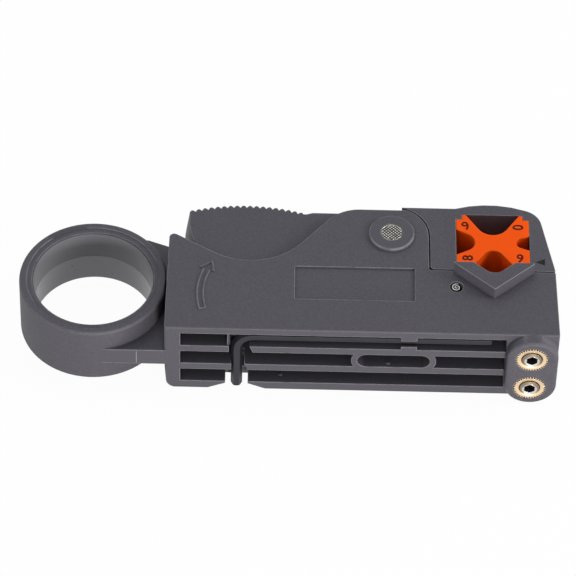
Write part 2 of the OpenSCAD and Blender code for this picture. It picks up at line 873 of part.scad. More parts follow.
// Steel pin on which the lever turns
module pivot_pin() {
    chamfer = 0.3;
    z0 = -half_t + 0.3;
    z1 = half_t + boss_h - 0.05;
    color(steel) translate([pivot_x, pivot_y, 0]) rotate_extrude() polygon([
        [0, z0], [pin_r - chamfer, z0], [pin_r, z0 + chamfer],
        [pin_r, z1 - chamfer], [pin_r - chamfer, z1], [0, z1]]);
}

// Height of the spring's wire above its seat after t turns
function coil_height(t, turns, free, wire, dead) =
    let (rise = (free - wire - 2 * dead * wire) / (turns - 2 * dead))
    wire / 2 + wire * min(t, dead)
        + rise * max(0, min(t, turns - dead) - dead)
        + wire * max(0, t - (turns - dead));

// Compression spring between the slot's floor and the lever
module lever_spring() {
    sides = 8;
    per_turn = 20;
    count = spring_turns * per_turn;
    free = spring_seat_y - floor_y - 0.04;
    mean_r = spring_r - spring_wire / 2;
    rings = [for (i = [0:count], j = [0:sides - 1])
        let (
            turn = 360 * i / per_turn,
            a = 360 * j / sides,
            r = mean_r + spring_wire / 2 * cos(a),
            h = coil_height(i / per_turn, spring_turns, free, spring_wire, 0.8)
        )
        [r * cos(turn), h + spring_wire / 2 * sin(a), r * sin(turn)]];
    sides_faces = [for (i = [0:count - 1], j = [0:sides - 1])
        let (k = (j + 1) % sides, a = i * sides, b = a + sides)
        each [[a + j, a + k, b + k], [a + j, b + k, b + j]]];
    caps = [[for (j = [sides - 1:-1:0]) j], [for (j = [0:sides - 1]) count * sides + j]];
    color(steel) translate([spring_x, floor_y + 0.02, 0]) polyhedron(rings, concat(sides_faces, caps));
}

// Arm that swings a blade into the cable when its set screw is turned in
module blade_arm(z) {
    slit = blade_t / 2 + 0.05;
    pad_y = arm_under_y + 0.7;
    color(steel) difference() {
        union() {
            bar_z(arm_pin_x, arm_pin_y, arm_hub_r, z - arm_t / 2, z + arm_t / 2);
            upright(z - arm_t / 2, z + arm_t / 2) polygon(rounded([
                [arm_pin_x, arm_pin_y - arm_hub_r, 0],
                [screw_x - 3.4, arm_under_y, 0.8],
                [screw_x - 2.4, pad_y, 0.6],
                [screw_x + 2.6, pad_y, 0.8],
                [screw_x + 2.6, seat_y - 2.4, 0.8],
                [screw_x - 1.6, seat_y - 2.4, 1],
                [cable_x + blade_w / 2 + 0.8, arm_top_y, 1],
                [arm_pin_x + 1.2, arm_top_y, 0],
                [arm_pin_x, arm_pin_y, 0]]));
        }
        bar_z(arm_pin_x, arm_pin_y, arm_pin_d / 2 + turn_gap, z - half_t, z + half_t);
        bar_z(cable_x, rivet_y, rivet_r + seat_gap, z - half_t, z + half_t);
        translate([cable_x - blade_w / 2 - 0.05, blade_foot_y - 0.05, z - slit])
            cube([blade_w + 0.1, 12, 2 * slit]);
    }
}

// Flat blade with a ground cutting edge
module blade(z) {
    edge_y = vee_low + blade_bite;
    grind = 1.2;
    color(steel) difference() {
        translate([cable_x - blade_w / 2, 0, z])
            rotate([90, 0, 90])
                linear_extrude(blade_w) polygon([
                    [blade_foot_y, -blade_t / 2],
                    [edge_y - grind, -blade_t / 2],
                    [edge_y, -0.04],
                    [edge_y, 0.04],
                    [edge_y - grind, blade_t / 2],
                    [blade_foot_y, blade_t / 2]]);
        bar_z(cable_x, rivet_y, rivet_r + seat_gap, z - half_t, z + half_t);
    }
}

// Rivet that holds a blade in its arm
module blade_rivet(z) {
    color(steel) bar_z(cable_x, rivet_y, rivet_r, z - arm_t / 2, z + arm_t / 2);
}

// Hollow pin on which both blade arms swing
module arm_pin() {
    color(steel) difference() {
        bar_z(arm_pin_x, arm_pin_y, arm_pin_d / 2, -half_t + 0.4, half_t - 0.15);
        bar_z(arm_pin_x, arm_pin_y, arm_pin_d / 4, half_t - 1.2, half_t + past);
    }
}

// Knurled brass insert with a countersunk thread
module brass_insert(z) {
    sink = 0.5;
    tooth = 0.22;
    teeth = [for (i = [0:2 * insert_teeth - 1])
        let (a = 180 * i / insert_teeth, r = insert_d / 2 - (i % 2) * tooth)
        r * [cos(a), sin(a)]];
    color(gold_brass) translate([screw_x, insert_face_y + insert_len, z]) rotate([90, 0, 0]) difference() {
        linear_extrude(insert_len + 0.02) polygon(teeth);
        translate([0, 0, -past]) cylinder(h = insert_len + 2 * past, r = screw_r + turn_gap);
        translate([0, 0, insert_len - sink])
            cylinder(h = sink + 0.1, r1 = screw_r, r2 = screw_r + sink + 0.1);
    }
}

// Set screw with a hexagon socket, bearing on its blade arm
module set_screw(z) {
    tip_y = arm_under_y + 0.7 - 0.03;
    head_y = insert_face_y - screw_proud;
    chamfer = 0.25;
    mouth = 0.3;
    color(steel) translate([screw_x, 0, z]) rotate([90, 0, 0]) difference() {
        rotate_extrude() polygon([
            [0, -tip_y], [screw_r - 0.6, -tip_y], [screw_r, -tip_y + 0.6],
            [screw_r, -head_y - chamfer], [screw_r - chamfer, -head_y], [0, -head_y]]);
        translate([0, 0, -head_y - socket_depth])
            cylinder(h = socket_depth + past, r = socket_flats / 2 / cos(30), $fn = 6);
        translate([0, 0, -head_y - mouth])
            cylinder(h = mouth + 0.1, r1 = socket_flats / 2, r2 = socket_flats / 2 + mouth + 0.1);
    }
}

// Hexagon key stored in the front slots
module hex_key() {
    straight = key_long - key_corner - key_bend_r;
    drop = key_short - key_corner - key_bend_r;
    chamfer = 0.35;
    color(key_black) translate([key_x + key_bend_r, key_y, key_z - key_bend_r]) {
        translate([0, 0, key_bend_r]) rotate([0, 90, 0]) key_bar(straight, chamfer);
        translate([-key_bend_r, 0, 0]) rotate([0, 180, 0]) key_bar(drop, chamfer);
        rotate([90, 0, 0]) rotate([0, 0, 90]) rotate_extrude(angle = 90, $fn = 64)
            translate([key_bend_r, 0]) circle(key_corner, $fn = 6);
    }
}

// Hexagon bar along Z with a chamfered far end
module key_bar(length, chamfer) {
    intersection() {
        cylinder(h = length, r = key_corner, $fn = 6);
        rotate_extrude() polygon([
            [0, 0], [key_corner + 0.5, 0], [key_corner + 0.5, length - chamfer - 0.3],
            [key_corner - chamfer, length], [0, length]]);
    }
}

body();
jaw_lever();
v_block();
pivot_pin();
lever_spring();
blade_arm(blade_z);  // blade_arm_upper
blade_arm(-blade_z);  // blade_arm_lower
blade(blade_z);  // blade_upper
blade(-blade_z);  // blade_lower
blade_rivet(blade_z);  // blade_rivet_upper
blade_rivet(-blade_z);  // blade_rivet_lower
arm_pin();
brass_insert(blade_z);  // insert_upper
brass_insert(-blade_z);  // insert_lower
set_screw(blade_z);  // set_screw_upper
set_screw(-blade_z);  // set_screw_lower
hex_key();
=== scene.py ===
"""Looks of a rotary coaxial cable stripper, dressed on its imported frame.

The frame is in metres. +X runs along the body towards the jaw, +Y points to the side of the thumb
lever and +Z comes up through the broad face.
"""

from __future__ import annotations

import json
import logging
import math
from collections.abc import Sequence
from dataclasses import dataclass, replace
from enum import Enum

import bmesh  # noqa: E402
import bpy  # noqa: E402
from mathutils import Matrix, Vector  # noqa: E402

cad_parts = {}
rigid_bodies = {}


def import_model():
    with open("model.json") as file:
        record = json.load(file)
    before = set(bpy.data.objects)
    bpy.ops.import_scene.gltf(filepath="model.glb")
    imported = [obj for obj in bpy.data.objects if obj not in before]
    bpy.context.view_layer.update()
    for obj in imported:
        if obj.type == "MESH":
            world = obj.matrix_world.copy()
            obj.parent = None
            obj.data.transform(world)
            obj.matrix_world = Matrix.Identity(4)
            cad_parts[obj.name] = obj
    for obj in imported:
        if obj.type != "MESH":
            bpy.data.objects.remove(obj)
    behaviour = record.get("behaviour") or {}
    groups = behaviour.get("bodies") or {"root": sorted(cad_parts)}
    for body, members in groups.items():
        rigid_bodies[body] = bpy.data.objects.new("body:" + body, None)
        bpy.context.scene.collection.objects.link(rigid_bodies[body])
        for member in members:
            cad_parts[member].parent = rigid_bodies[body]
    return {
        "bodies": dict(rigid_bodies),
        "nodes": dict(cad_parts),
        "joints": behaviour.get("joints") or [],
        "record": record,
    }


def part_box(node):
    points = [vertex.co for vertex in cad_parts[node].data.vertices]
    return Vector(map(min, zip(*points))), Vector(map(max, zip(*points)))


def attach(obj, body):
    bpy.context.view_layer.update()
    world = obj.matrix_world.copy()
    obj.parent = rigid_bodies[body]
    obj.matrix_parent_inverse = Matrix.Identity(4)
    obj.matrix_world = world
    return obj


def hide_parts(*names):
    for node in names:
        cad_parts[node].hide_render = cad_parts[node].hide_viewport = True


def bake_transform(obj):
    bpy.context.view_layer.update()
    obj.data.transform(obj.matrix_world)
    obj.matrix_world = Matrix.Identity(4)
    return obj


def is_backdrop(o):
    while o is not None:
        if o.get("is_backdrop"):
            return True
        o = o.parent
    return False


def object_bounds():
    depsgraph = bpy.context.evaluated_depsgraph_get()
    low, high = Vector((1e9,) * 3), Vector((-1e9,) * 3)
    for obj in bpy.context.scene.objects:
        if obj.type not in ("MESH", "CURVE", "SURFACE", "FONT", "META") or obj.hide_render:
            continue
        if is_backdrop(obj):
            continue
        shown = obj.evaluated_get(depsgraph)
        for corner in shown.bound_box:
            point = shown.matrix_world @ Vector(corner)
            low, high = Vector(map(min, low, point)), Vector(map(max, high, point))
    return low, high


MM = 0.001
# Name of the face attribute that marks faces for a painted highlight.
PAINTED_HIGHLIGHT = "highlight_wear_shade"
LOG = logging.getLogger("stripper")

Colour = tuple[float, float, float]


def rgba(colour: Colour) -> tuple[float, float, float, float]:
    """Returns the colour with full opacity."""
    return (*colour, 1.0)


class Shade(Enum):
    """How the faces of a piece meet in the light."""

    CREASED = 32.0
    SPARKLING = 12.0


class Slot(Enum):
    """Material slots of the record."""

    GREY_PLASTIC = "grey_plastic"
    ORANGE_PLASTIC = "orange_plastic"
    PIN_STEEL = "pin_steel"
    SPRING_STEEL = "spring_steel"
    ARM_STEEL = "arm_steel"
    BLADE_STEEL = "blade_steel"
    BRASS = "insert_brass"
    SCREW_STEEL = "screw_steel"
    KEY_STEEL = "key_steel"


class Wiring:
    """Adds nodes to one node tree and links them."""

    def __init__(self, tree: bpy.types.NodeTree) -> None:
        """Keeps the tree that the nodes go into."""
        self.tree = tree

    def add(self, kind: str, **values: object) -> bpy.types.Node:
        """Adds a node.

        Args:
            kind: Name of the node's type.
            **values: Attributes to set on the node.

        Returns:
            The new node.
        """
        node = self.tree.nodes.new(kind)
        for name, value in values.items():
            setattr(node, name, value)
        return node

    def feed(self, node: bpy.types.Node, **sources: object) -> bpy.types.Node:
        """Feeds a node's inputs, each from a socket or with a constant.

        Args:
            node: Node whose inputs are set.
            **sources: Socket or value for each input; an underscore stands for a space.

        Returns:
            The same node.
        """
        for name, source in sources.items():
            socket = node.inputs[name.replace("_", " ")]
            if isinstance(source, bpy.types.NodeSocket):
                self.tree.links.new(source, socket)
            else:
                socket.default_value = source
        return node

    def math(self, operation: str, first: object, second: object = 0.0) -> bpy.types.NodeSocket:
        """Combines two numbers or number sockets.

        Args:
            operation: Name of the operation.
            first: First operand.
            second: Second operand.

        Returns:
            The socket with the result, kept between 0 and 1.
        """
        node = self.add("ShaderNodeMath", operation=operation, use_clamp=True)
        for socket, source in zip(node.inputs, (first, second), strict=False):
            if isinstance(source, bpy.types.NodeSocket):
                self.tree.links.new(source, socket)
            else:
                socket.default_value = source
        return node.outputs[0]

    def mix(self, share: object, first: object, second: object) -> bpy.types.NodeSocket:
        """Mixes two colours.

        Args:
            share: Share of the second colour.
            first: First colour or socket.
            second: Second colour or socket.

        Returns:
            The socket with the mixed colour.
        """
        node = self.add("ShaderNodeMix", data_type="RGBA")
        for index, source in ((0, share), (6, first), (7, second)):
            if isinstance(source, bpy.types.NodeSocket):
                self.tree.links.new(source, node.inputs[index])
            else:
                node.inputs[index].default_value = source
        return node.outputs[2]

    def ramp(self, source: object, low: float, high: float) -> bpy.types.NodeSocket:
        """Stretches a number socket from low to high over 0 to 1.

        Args:
            source: Socket to read.
            low: Value that becomes 0.
            high: Value that becomes 1.

        Returns:
            The socket with the stretched number.
        """
        node = self.add("ShaderNodeMapRange", clamp=True)
        self.feed(node, Value=source, From_Min=low, From_Max=high, To_Min=0.0, To_Max=1.0)
        return node.outputs[0]


class Effect:
    """A shader node group that several finishes share."""

    title = "effect"
    inputs: tuple[tuple[str, str, float], ...] = ()
    outputs: tuple[tuple[str, str], ...] = ()

    @classmethod
    def group(cls) -> bpy.types.NodeTree:
        """Returns the effect's node group, which is built the first time."""
        if cls.title in bpy.data.node_groups:
            return bpy.data.node_groups[cls.title]
        tree = bpy.data.node_groups.new(cls.title, "ShaderNodeTree")
        for name, kind, value in cls.inputs:
            socket = tree.interface.new_socket(name, in_out="INPUT", socket_type=kind)
            if kind == "NodeSocketFloat":
                socket.default_value = value
        for name, kind in cls.outputs:
            tree.interface.new_socket(name, in_out="OUTPUT", socket_type=kind)
        wires = Wiring(tree)
        cls.draw(wires, wires.add("NodeGroupInput"), wires.add("NodeGroupOutput"))
        return tree

    @classmethod
    def draw(cls, wires: Wiring, source: bpy.types.Node, sink: bpy.types.Node) -> None:
        """Fills the group.

        Args:
            wires: Wiring of the group's tree.
            source: Node with the group's inputs.
            sink: Node with the group's outputs.
        """
        raise NotImplementedError

    @classmethod
    def place(cls, wires: Wiring, **values: object) -> bpy.types.Node:
        """Places the effect in a material.

        Args:
            wires: Wiring of the material's tree.
            **values: Socket or value for each input.

        Returns:
            The group node.
        """
        node = wires.add("ShaderNodeGroup", node_tree=cls.group())
        return wires.feed(node, **values)


class SparkGrain(Effect):
    """Fine even grain that a spark-eroded mould leaves on plastic."""

    title = "spark_grain"
    inputs = (("Pitch", "NodeSocketFloat", 0.2), ("Patch", "NodeSocketFloat", 6.0))
    outputs = (("Height", "NodeSocketFloat"), ("Speck", "NodeSocketFloat"), ("Cloud", "NodeSocketFloat"))

    @classmethod
    def draw(cls, wires: Wiring, source: bpy.types.Node, sink: bpy.types.Node) -> None:
        """Fills the group with two grains and a slow cloud; pitches are in millimetres."""
        place = wires.add("ShaderNodeTexCoord").outputs["Object"]
        fine = wires.add("ShaderNodeMath", operation="DIVIDE")
        fine.inputs[0].default_value = 1 / MM
        wires.tree.links.new(source.outputs["Pitch"], fine.inputs[1])
        slow = wires.add("ShaderNodeMath", operation="DIVIDE")
        slow.inputs[0].default_value = 1 / MM
        wires.tree.links.new(source.outputs["Patch"], slow.inputs[1])
        pits = wires.add("ShaderNodeTexNoise")
        wires.feed(pits, Vector=place, Scale=fine.outputs[0], Detail=3.0, Roughness=0.62)
        cells = wires.add("ShaderNodeTexVoronoi", feature="F1")
        wires.feed(cells, Vector=place, Scale=fine.outputs[0])
        cloud = wires.add("ShaderNodeTexNoise")
        wires.feed(cloud, Vector=place, Scale=slow.outputs[0], Detail=4.0, Roughness=0.55)
        rough = wires.math("MULTIPLY", pits.outputs[0], 0.7)
        dimple = wires.math("MULTIPLY", cells.outputs["Distance"], 0.35)
        wires.feed(
            sink,
            Height=wires.math("ADD", rough, dimple),
            Speck=wires.ramp(pits.outputs[0], 0.30, 0.70),
            Cloud=wires.ramp(cloud.outputs[0], 0.30, 0.70),
        )


class EdgeWearHighlightShade(Effect):
    """Rounded edges, a mask of the outer ones broken up by a slow noise, and a mask of creases. Plastics and bare
    metals paint highlights with the edge mask and black oxide its worn edges; plastics paint shade with the
    crease mask.
    """

    title = "edge_wear_highlight_shade"
    inputs = (("Radius", "NodeSocketFloat", 0.2), ("Patch", "NodeSocketFloat", 2.4))
    outputs = (
        ("Mask", "NodeSocketFloat"),
        ("Rounded", "NodeSocketVector"),
        ("Crease", "NodeSocketFloat"),
    )

    @classmethod
    def draw(cls, wires: Wiring, source: bpy.types.Node, sink: bpy.types.Node) -> None:
        """Fills the group; faces that a piece marks for a painted highlight join the edge mask, and ambient
        occlusion gives the crease mask of painted shade. Sizes are in millimetres.
        """
        radius = wires.add("ShaderNodeMath", operation="MULTIPLY")
        wires.tree.links.new(source.outputs["Radius"], radius.inputs[0])
        radius.inputs[1].default_value = MM
        rounded = wires.add("ShaderNodeBevel", samples=8)
        wires.feed(rounded, Radius=radius.outputs[0])
        facing = wires.add("ShaderNodeNewGeometry").outputs["Normal"]
        same = wires.add("ShaderNodeVectorMath", operation="DOT_PRODUCT")
        wires.tree.links.new(rounded.outputs[0], same.inputs[0])
        wires.tree.links.new(facing, same.inputs[1])
        open_sky = wires.add("ShaderNodeAmbientOcclusion", samples=6, only_local=True)
        wires.feed(open_sky, Distance=radius.outputs[0])
        outer = wires.ramp(open_sky.outputs["AO"], 0.80, 0.97)
        edge = wires.math("MULTIPLY", wires.ramp(same.outputs["Value"], 0.995, 0.88), outer)
        # Ambient occlusion for the painted shade in creases.
        corner = wires.add("ShaderNodeAmbientOcclusion", samples=6)
        corner.inputs["Distance"].default_value = 0.7 * MM
        place = wires.add("ShaderNodeTexCoord").outputs["Object"]
        rate = wires.add("ShaderNodeMath", operation="DIVIDE")
        rate.inputs[0].default_value = 1 / MM
        wires.tree.links.new(source.outputs["Patch"], rate.inputs[1])
        patch = wires.add("ShaderNodeTexNoise")
        wires.feed(patch, Vector=place, Scale=rate.outputs[0], Detail=5.0, Roughness=0.6)
        # Faces that a piece marks for a painted highlight join the edge mask.
        marked = wires.add("ShaderNodeAttribute", attribute_name=PAINTED_HIGHLIGHT)
        broken = wires.ramp(patch.outputs[0], 0.25, 0.50)
        wires.feed(
            sink,
            Mask=wires.math("MULTIPLY", wires.math("MAXIMUM", marked.outputs["Fac"], edge), broken),
            Rounded=rounded.outputs[0],
            Crease=wires.ramp(corner.outputs["AO"], 0.90, 0.40),
        )


class TurnedRings(Effect):
    """Concentric tool marks round an axis through a chosen point."""

    title = "turned_rings"
    inputs = (("Centre", "NodeSocketVector", 0.0), ("Pitch", "NodeSocketFloat", 0.12))
    outputs = (("Height", "NodeSocketFloat"), ("Scratch", "NodeSocketFloat"))

    @classmethod
    def draw(cls, wires: Wiring, source: bpy.types.Node, sink: bpy.types.Node) -> None:
        """Fills the group with rings and fine scratches; the pitch is in millimetres."""
        place = wires.add("ShaderNodeTexCoord").outputs["Object"]
        local = wires.add("ShaderNodeVectorMath", operation="SUBTRACT")
        wires.tree.links.new(place, local.inputs[0])
        wires.tree.links.new(source.outputs["Centre"], local.inputs[1])
        rate = wires.add("ShaderNodeMath", operation="DIVIDE")
        rate.inputs[0].default_value = 0.3 / MM
        wires.tree.links.new(source.outputs["Pitch"], rate.inputs[1])
        rings = wires.add("ShaderNodeTexWave", wave_type="RINGS", rings_direction="SPHERICAL")
        wires.feed(rings, Vector=local.outputs[0], Scale=rate.outputs[0], Distortion=0.6)
        rings.inputs["Detail"].default_value = 2.0
        scratch = wires.add("ShaderNodeTexNoise")
        wires.feed(scratch, Vector=place, Scale=2600.0, Detail=4.0, Roughness=0.7)
        wires.feed(sink, Height=rings.outputs["Fac"], Scratch=wires.ramp(scratch.outputs[0], 0.35, 0.65))


@dataclass(frozen=True)
class Finish:
    """What every finish shares."""

    name: str
    colour: Colour
    roughness: float = 0.5

    def build(self) -> bpy.types.Material:
        """Returns the finish as a material, which is built the first time."""
        if self.name in bpy.data.materials:
            return bpy.data.materials[self.name]
        material = bpy.data.materials.new(self.name)
        material.use_nodes = True
        material.node_tree.nodes.clear()
        wires = Wiring(material.node_tree)
        shader = wires.add("ShaderNodeBsdfPrincipled")
        out = wires.add("ShaderNodeOutputMaterial")
        wires.feed(out, Surface=shader.outputs[0])
        self.dress(wires, shader)
        return material

    def dress(self, wires: Wiring, shader: bpy.types.Node) -> None:
        """Feeds the shader.

        Args:
            wires: Wiring of the material.
            shader: Its Principled BSDF.
        """
        raise NotImplementedError

    def bump(
        self, wires: Wiring, height: object, strength: float, depth: float, smooth: object
    ) -> bpy.types.NodeSocket:
        """Turns a height into a normal.

        Args:
            wires: Wiring of the material.
            height: Height socket.
            strength: Share of the effect.
            depth: Depth in millimetres.
            smooth: Normal socket that the height is laid on.

        Returns:
            The normal socket.
        """
        node = wires.add("ShaderNodeBump")
        wires.feed(node, Height=height, Strength=strength, Distance=depth * MM, Normal=smooth)
        return node.outputs[0]


@dataclass(frozen=True)
class MouldedPlastic(Finish):
    """Injection-moulded plastic with a spark grain, painted highlights on its outer edges and painted shade in
    its creases.
    """

    grain_pitch: float = 0.32
    grain_depth: float = 0.03
    speck: float = 0.14
    cloud: float = 0.05
    # Painted highlight on outer edges: its share, patchiness, edge radius and colour; the colour also tints the
    # specks and the radius also rounds the normals.
    edge_highlight_wear: float = 1.0
    highlight_patch: float = 2.4
    edge_radius: float = 0.30
    highlight_and_speck_colour: Colour = (0.23, 0.23, 0.25)
    # Share of the painted shade in creases.
    crease_shade: float = 0.55
    specular: float = 0.30

    def dress(self, wires: Wiring, shader: bpy.types.Node) -> None:
        """Feeds the shader with grain, cloud, painted edge highlights and painted crease shade."""
        grain = SparkGrain.place(wires, Pitch=self.grain_pitch)
        edge_highlight_wear = EdgeWearHighlightShade.place(wires, Patch=self.highlight_patch, Radius=self.edge_radius)
        dark = tuple(c * (1 - self.cloud) for c in self.colour)
        pale = tuple(min(1.0, c * (1 + self.cloud)) for c in self.colour)
        body = wires.mix(grain.outputs["Cloud"], rgba(dark), rgba(pale))
        speckled = wires.mix(
            wires.math("MULTIPLY", grain.outputs["Speck"], self.speck), body, rgba(self.highlight_and_speck_colour)
        )
        # Painted highlight on the outer edges.
        highlight_wear_shade = wires.mix(
            wires.math("MULTIPLY", edge_highlight_wear.outputs["Mask"], self.edge_highlight_wear), speckled, rgba(self.highlight_and_speck_colour)
        )
        # Painted shade: creases darken towards a fifth of the plastic's colour.
        crease_shade_colour = tuple(c * 0.2 for c in self.colour)
        highlight_wear_shade = wires.mix(wires.math("MULTIPLY", edge_highlight_wear.outputs["Crease"], self.crease_shade), highlight_wear_shade, rgba(crease_shade_colour))
        rough = wires.add("ShaderNodeMapRange", clamp=True)
        wires.feed(
            rough,
            Value=grain.outputs["Cloud"],
            To_Min=self.roughness - 0.04,
            To_Max=self.roughness + 0.05,
        )
        wires.feed(
            shader,
            Base_Color=highlight_wear_shade,
            Roughness=rough.outputs[0],
            Normal=self.bump(
                wires, grain.outputs["Height"], 0.5, self.grain_depth, edge_highlight_wear.outputs["Rounded"]
            ),
            Specular_IOR_Level=self.specular,
        )


@dataclass(frozen=True)
class BareMetal(Finish):
    """Steel or brass with fine scratches, turned rings and a thin stain."""

    centre: tuple[float, float, float] = (0.0, 0.0, 0.0)
    ring_pitch: float = 0.10
    ring_depth: float = 0.004
    stain: float = 0.35
    stain_colour: Colour = (0.16, 0.15, 0.14)
    glint: float = 1.3
    edge_radius: float = 0.05

    def dress(self, wires: Wiring, shader: bpy.types.Node) -> None:
        """Feeds the shader with rings, scratches, the stain between them and painted glints on edges and marked
        faces.
        """
        rings = TurnedRings.place(wires, Pitch=self.ring_pitch, Centre=self.centre)
        edge_highlight_wear = EdgeWearHighlightShade.place(wires, Patch=0.8, Radius=self.edge_radius)
        groove = wires.math("MULTIPLY", rings.outputs["Height"], rings.outputs["Scratch"])
        faint = wires.math("MULTIPLY", groove, self.stain)
        colour = wires.mix(faint, rgba(self.colour), rgba(self.stain_colour))
        # Painted glint: edges and marked faces turn a brighter copy of the colour.
        bright = tuple(min(0.95, c * self.glint) for c in self.colour)
        colour = wires.mix(edge_highlight_wear.outputs["Mask"], colour, rgba(bright))
        rough = wires.add("ShaderNodeMapRange", clamp=True)
        wires.feed(
            rough,
            Value=rings.outputs["Scratch"],
            To_Min=self.roughness - 0.06,
            To_Max=self.roughness + 0.08,
        )
        wires.feed(
            shader,
            Base_Color=colour,
            Metallic=1.0,
            Roughness=rough.outputs[0],
            Normal=self.bump(
                wires, rings.outputs["Height"], 0.35, self.ring_depth, edge_highlight_wear.outputs["Rounded"]
            ),
        )


@dataclass(frozen=True)
class BlackOxide(Finish):
    """Blackened tool steel with a dull oil sheen."""

    highlight_wear_shade: Colour = (0.10, 0.10, 0.11)

    def dress(self, wires: Wiring, shader: bpy.types.Node) -> None:
        """Feeds the shader with the black skin and the metal that shows at its edges."""
        grain = SparkGrain.place(wires, Pitch=0.12, Patch=3.0)
        edge_highlight_wear = EdgeWearHighlightShade.place(wires, Patch=1.2, Radius=0.15)
        mask = wires.math("MULTIPLY", edge_highlight_wear.outputs["Mask"], 0.5)
        skin = wires.mix(grain.outputs["Cloud"], rgba(self.colour), rgba(tuple(c * 1.5 for c in self.colour)))
        wires.feed(
            shader,
            Base_Color=wires.mix(mask, skin, rgba(self.highlight_wear_shade)),
            Metallic=0.1,
            Roughness=self.roughness,
            Specular_IOR_Level=0.35,
            Normal=self.bump(wires, grain.outputs["Height"], 0.4, 0.01, edge_highlight_wear.outputs["Rounded"]),
        )


@dataclass(frozen=True)
class Ink(Finish):
    """Dark paint in an engraved mark."""

    specular: float = 0.08

    def dress(self, wires: Wiring, shader: bpy.types.Node) -> None:
        """Feeds the shader with a slightly uneven paint."""
        grain = SparkGrain.place(wires, Pitch=0.15, Patch=0.8)
        pale = tuple(c * 1.6 + 0.01 for c in self.colour)
        wires.feed(
            shader,
            Base_Color=wires.mix(grain.outputs["Cloud"], rgba(self.colour), rgba(pale)),
            Roughness=self.roughness,
            Specular_IOR_Level=self.specular,
        )


GREY_PLASTIC = MouldedPlastic("grained_grey", (0.050, 0.0475, 0.058), 0.58)
# Bore halves: the mould halves differ in gloss, and both colours are lighter than the body's plastic as painted
# light, the lower half most.
UPPER_BORE = MouldedPlastic(
    "upper_bore", (0.126, 0.125, 0.137), 0.42, grain_depth=0.006, speck=0.1, specular=0.4
)
LOWER_BORE = MouldedPlastic(
    "lower_bore", (0.138, 0.137, 0.148), 0.30, grain_depth=0.004, speck=0.1, specular=0.8
)
# Painted highlight: the pale colour stands in for the light that the thin mould ridges catch; their plastic is
# the body's.
WITNESS_PLASTIC = MouldedPlastic(
    "pale_witness",
    (0.21, 0.21, 0.225),
    0.5,
    grain_depth=0.004,
    speck=0.1,
    edge_radius=0.01,
    crease_shade=0.0,
)
# Painted shade on the stepped band at the ring's rims.
RIM_BAND_SHADE = MouldedPlastic("rim_band_shade", (0.034, 0.032, 0.040), 0.50, grain_depth=0.012, speck=0.1)
ORANGE_PLASTIC = MouldedPlastic(
    "satin_orange",
    (0.89, 0.087, 0.001),
    0.45,
    grain_depth=0.012,
    speck=0.015,
    cloud=0.02,
    edge_highlight_wear=0.35,
    highlight_and_speck_colour=(0.95, 0.22, 0.05),
    crease_shade=0.2,
    specular=0.08,
)
# Dark steel whose painted glints on marked crests and edges are fifteen times as bright.
PIN_STEEL = BareMetal("drawn_pin", (0.035, 0.035, 0.032), 0.40, ring_pitch=0.3, stain=0.2, glint=15.0, edge_radius=0.005)
ROLL_STEEL = BareMetal("coiled_strip", (0.40, 0.39, 0.38), 0.32, ring_pitch=0.5, stain=0.5, edge_radius=0.02)
SPRING_STEEL = BareMetal("spring_wire", (0.48, 0.48, 0.50), 0.35)
ARM_STEEL = BareMetal("plated_arm", (0.46, 0.46, 0.48), 0.38)
BLADE_STEEL = BareMetal("ground_blade", (0.60, 0.61, 0.63), 0.22)
INSERT_BRASS = BareMetal(
    "turned_brass",
    (0.80, 0.62, 0.41),
    0.36,
    ring_pitch=0.24,
    ring_depth=0.006,
    stain=0.25,
    stain_colour=(0.40, 0.26, 0.13),
)
SCREW_STEEL = BareMetal("nickel_screw", (0.66, 0.64, 0.62), 0.24, ring_pitch=0.4, stain=0.45)
# Painted shade and a painted reflection of the brass on the side of each set screw.
SHADED_STEEL = BareMetal("cone_shade_and_reflection", (0.30, 0.24, 0.17), 0.34, ring_pitch=0.3, stain=0.6)
# Painted shade: near-black for the hexagon sockets and the knurled sides of the inserts.
SOCKET_SHADE = BlackOxide("painted_socket_shade", (0.016, 0.013, 0.012), 0.5, highlight_wear_shade=(0.2, 0.17, 0.14))
KEY_STEEL = BlackOxide("black_oxide", (0.010, 0.010, 0.014), 0.50)
DARK_INK = Ink("dark_ink", (0.010, 0.010, 0.011), 0.6)
BROWN_INK = Ink("brown_ink", (0.15, 0.014, 0.004), 0.6)


@dataclass(frozen=True)
class Bend:
    """A second body and two points of a bend, in millimetres; the fields are not read."""

    body: str
    start: tuple[float, float, float]
    end: tuple[float, float, float]


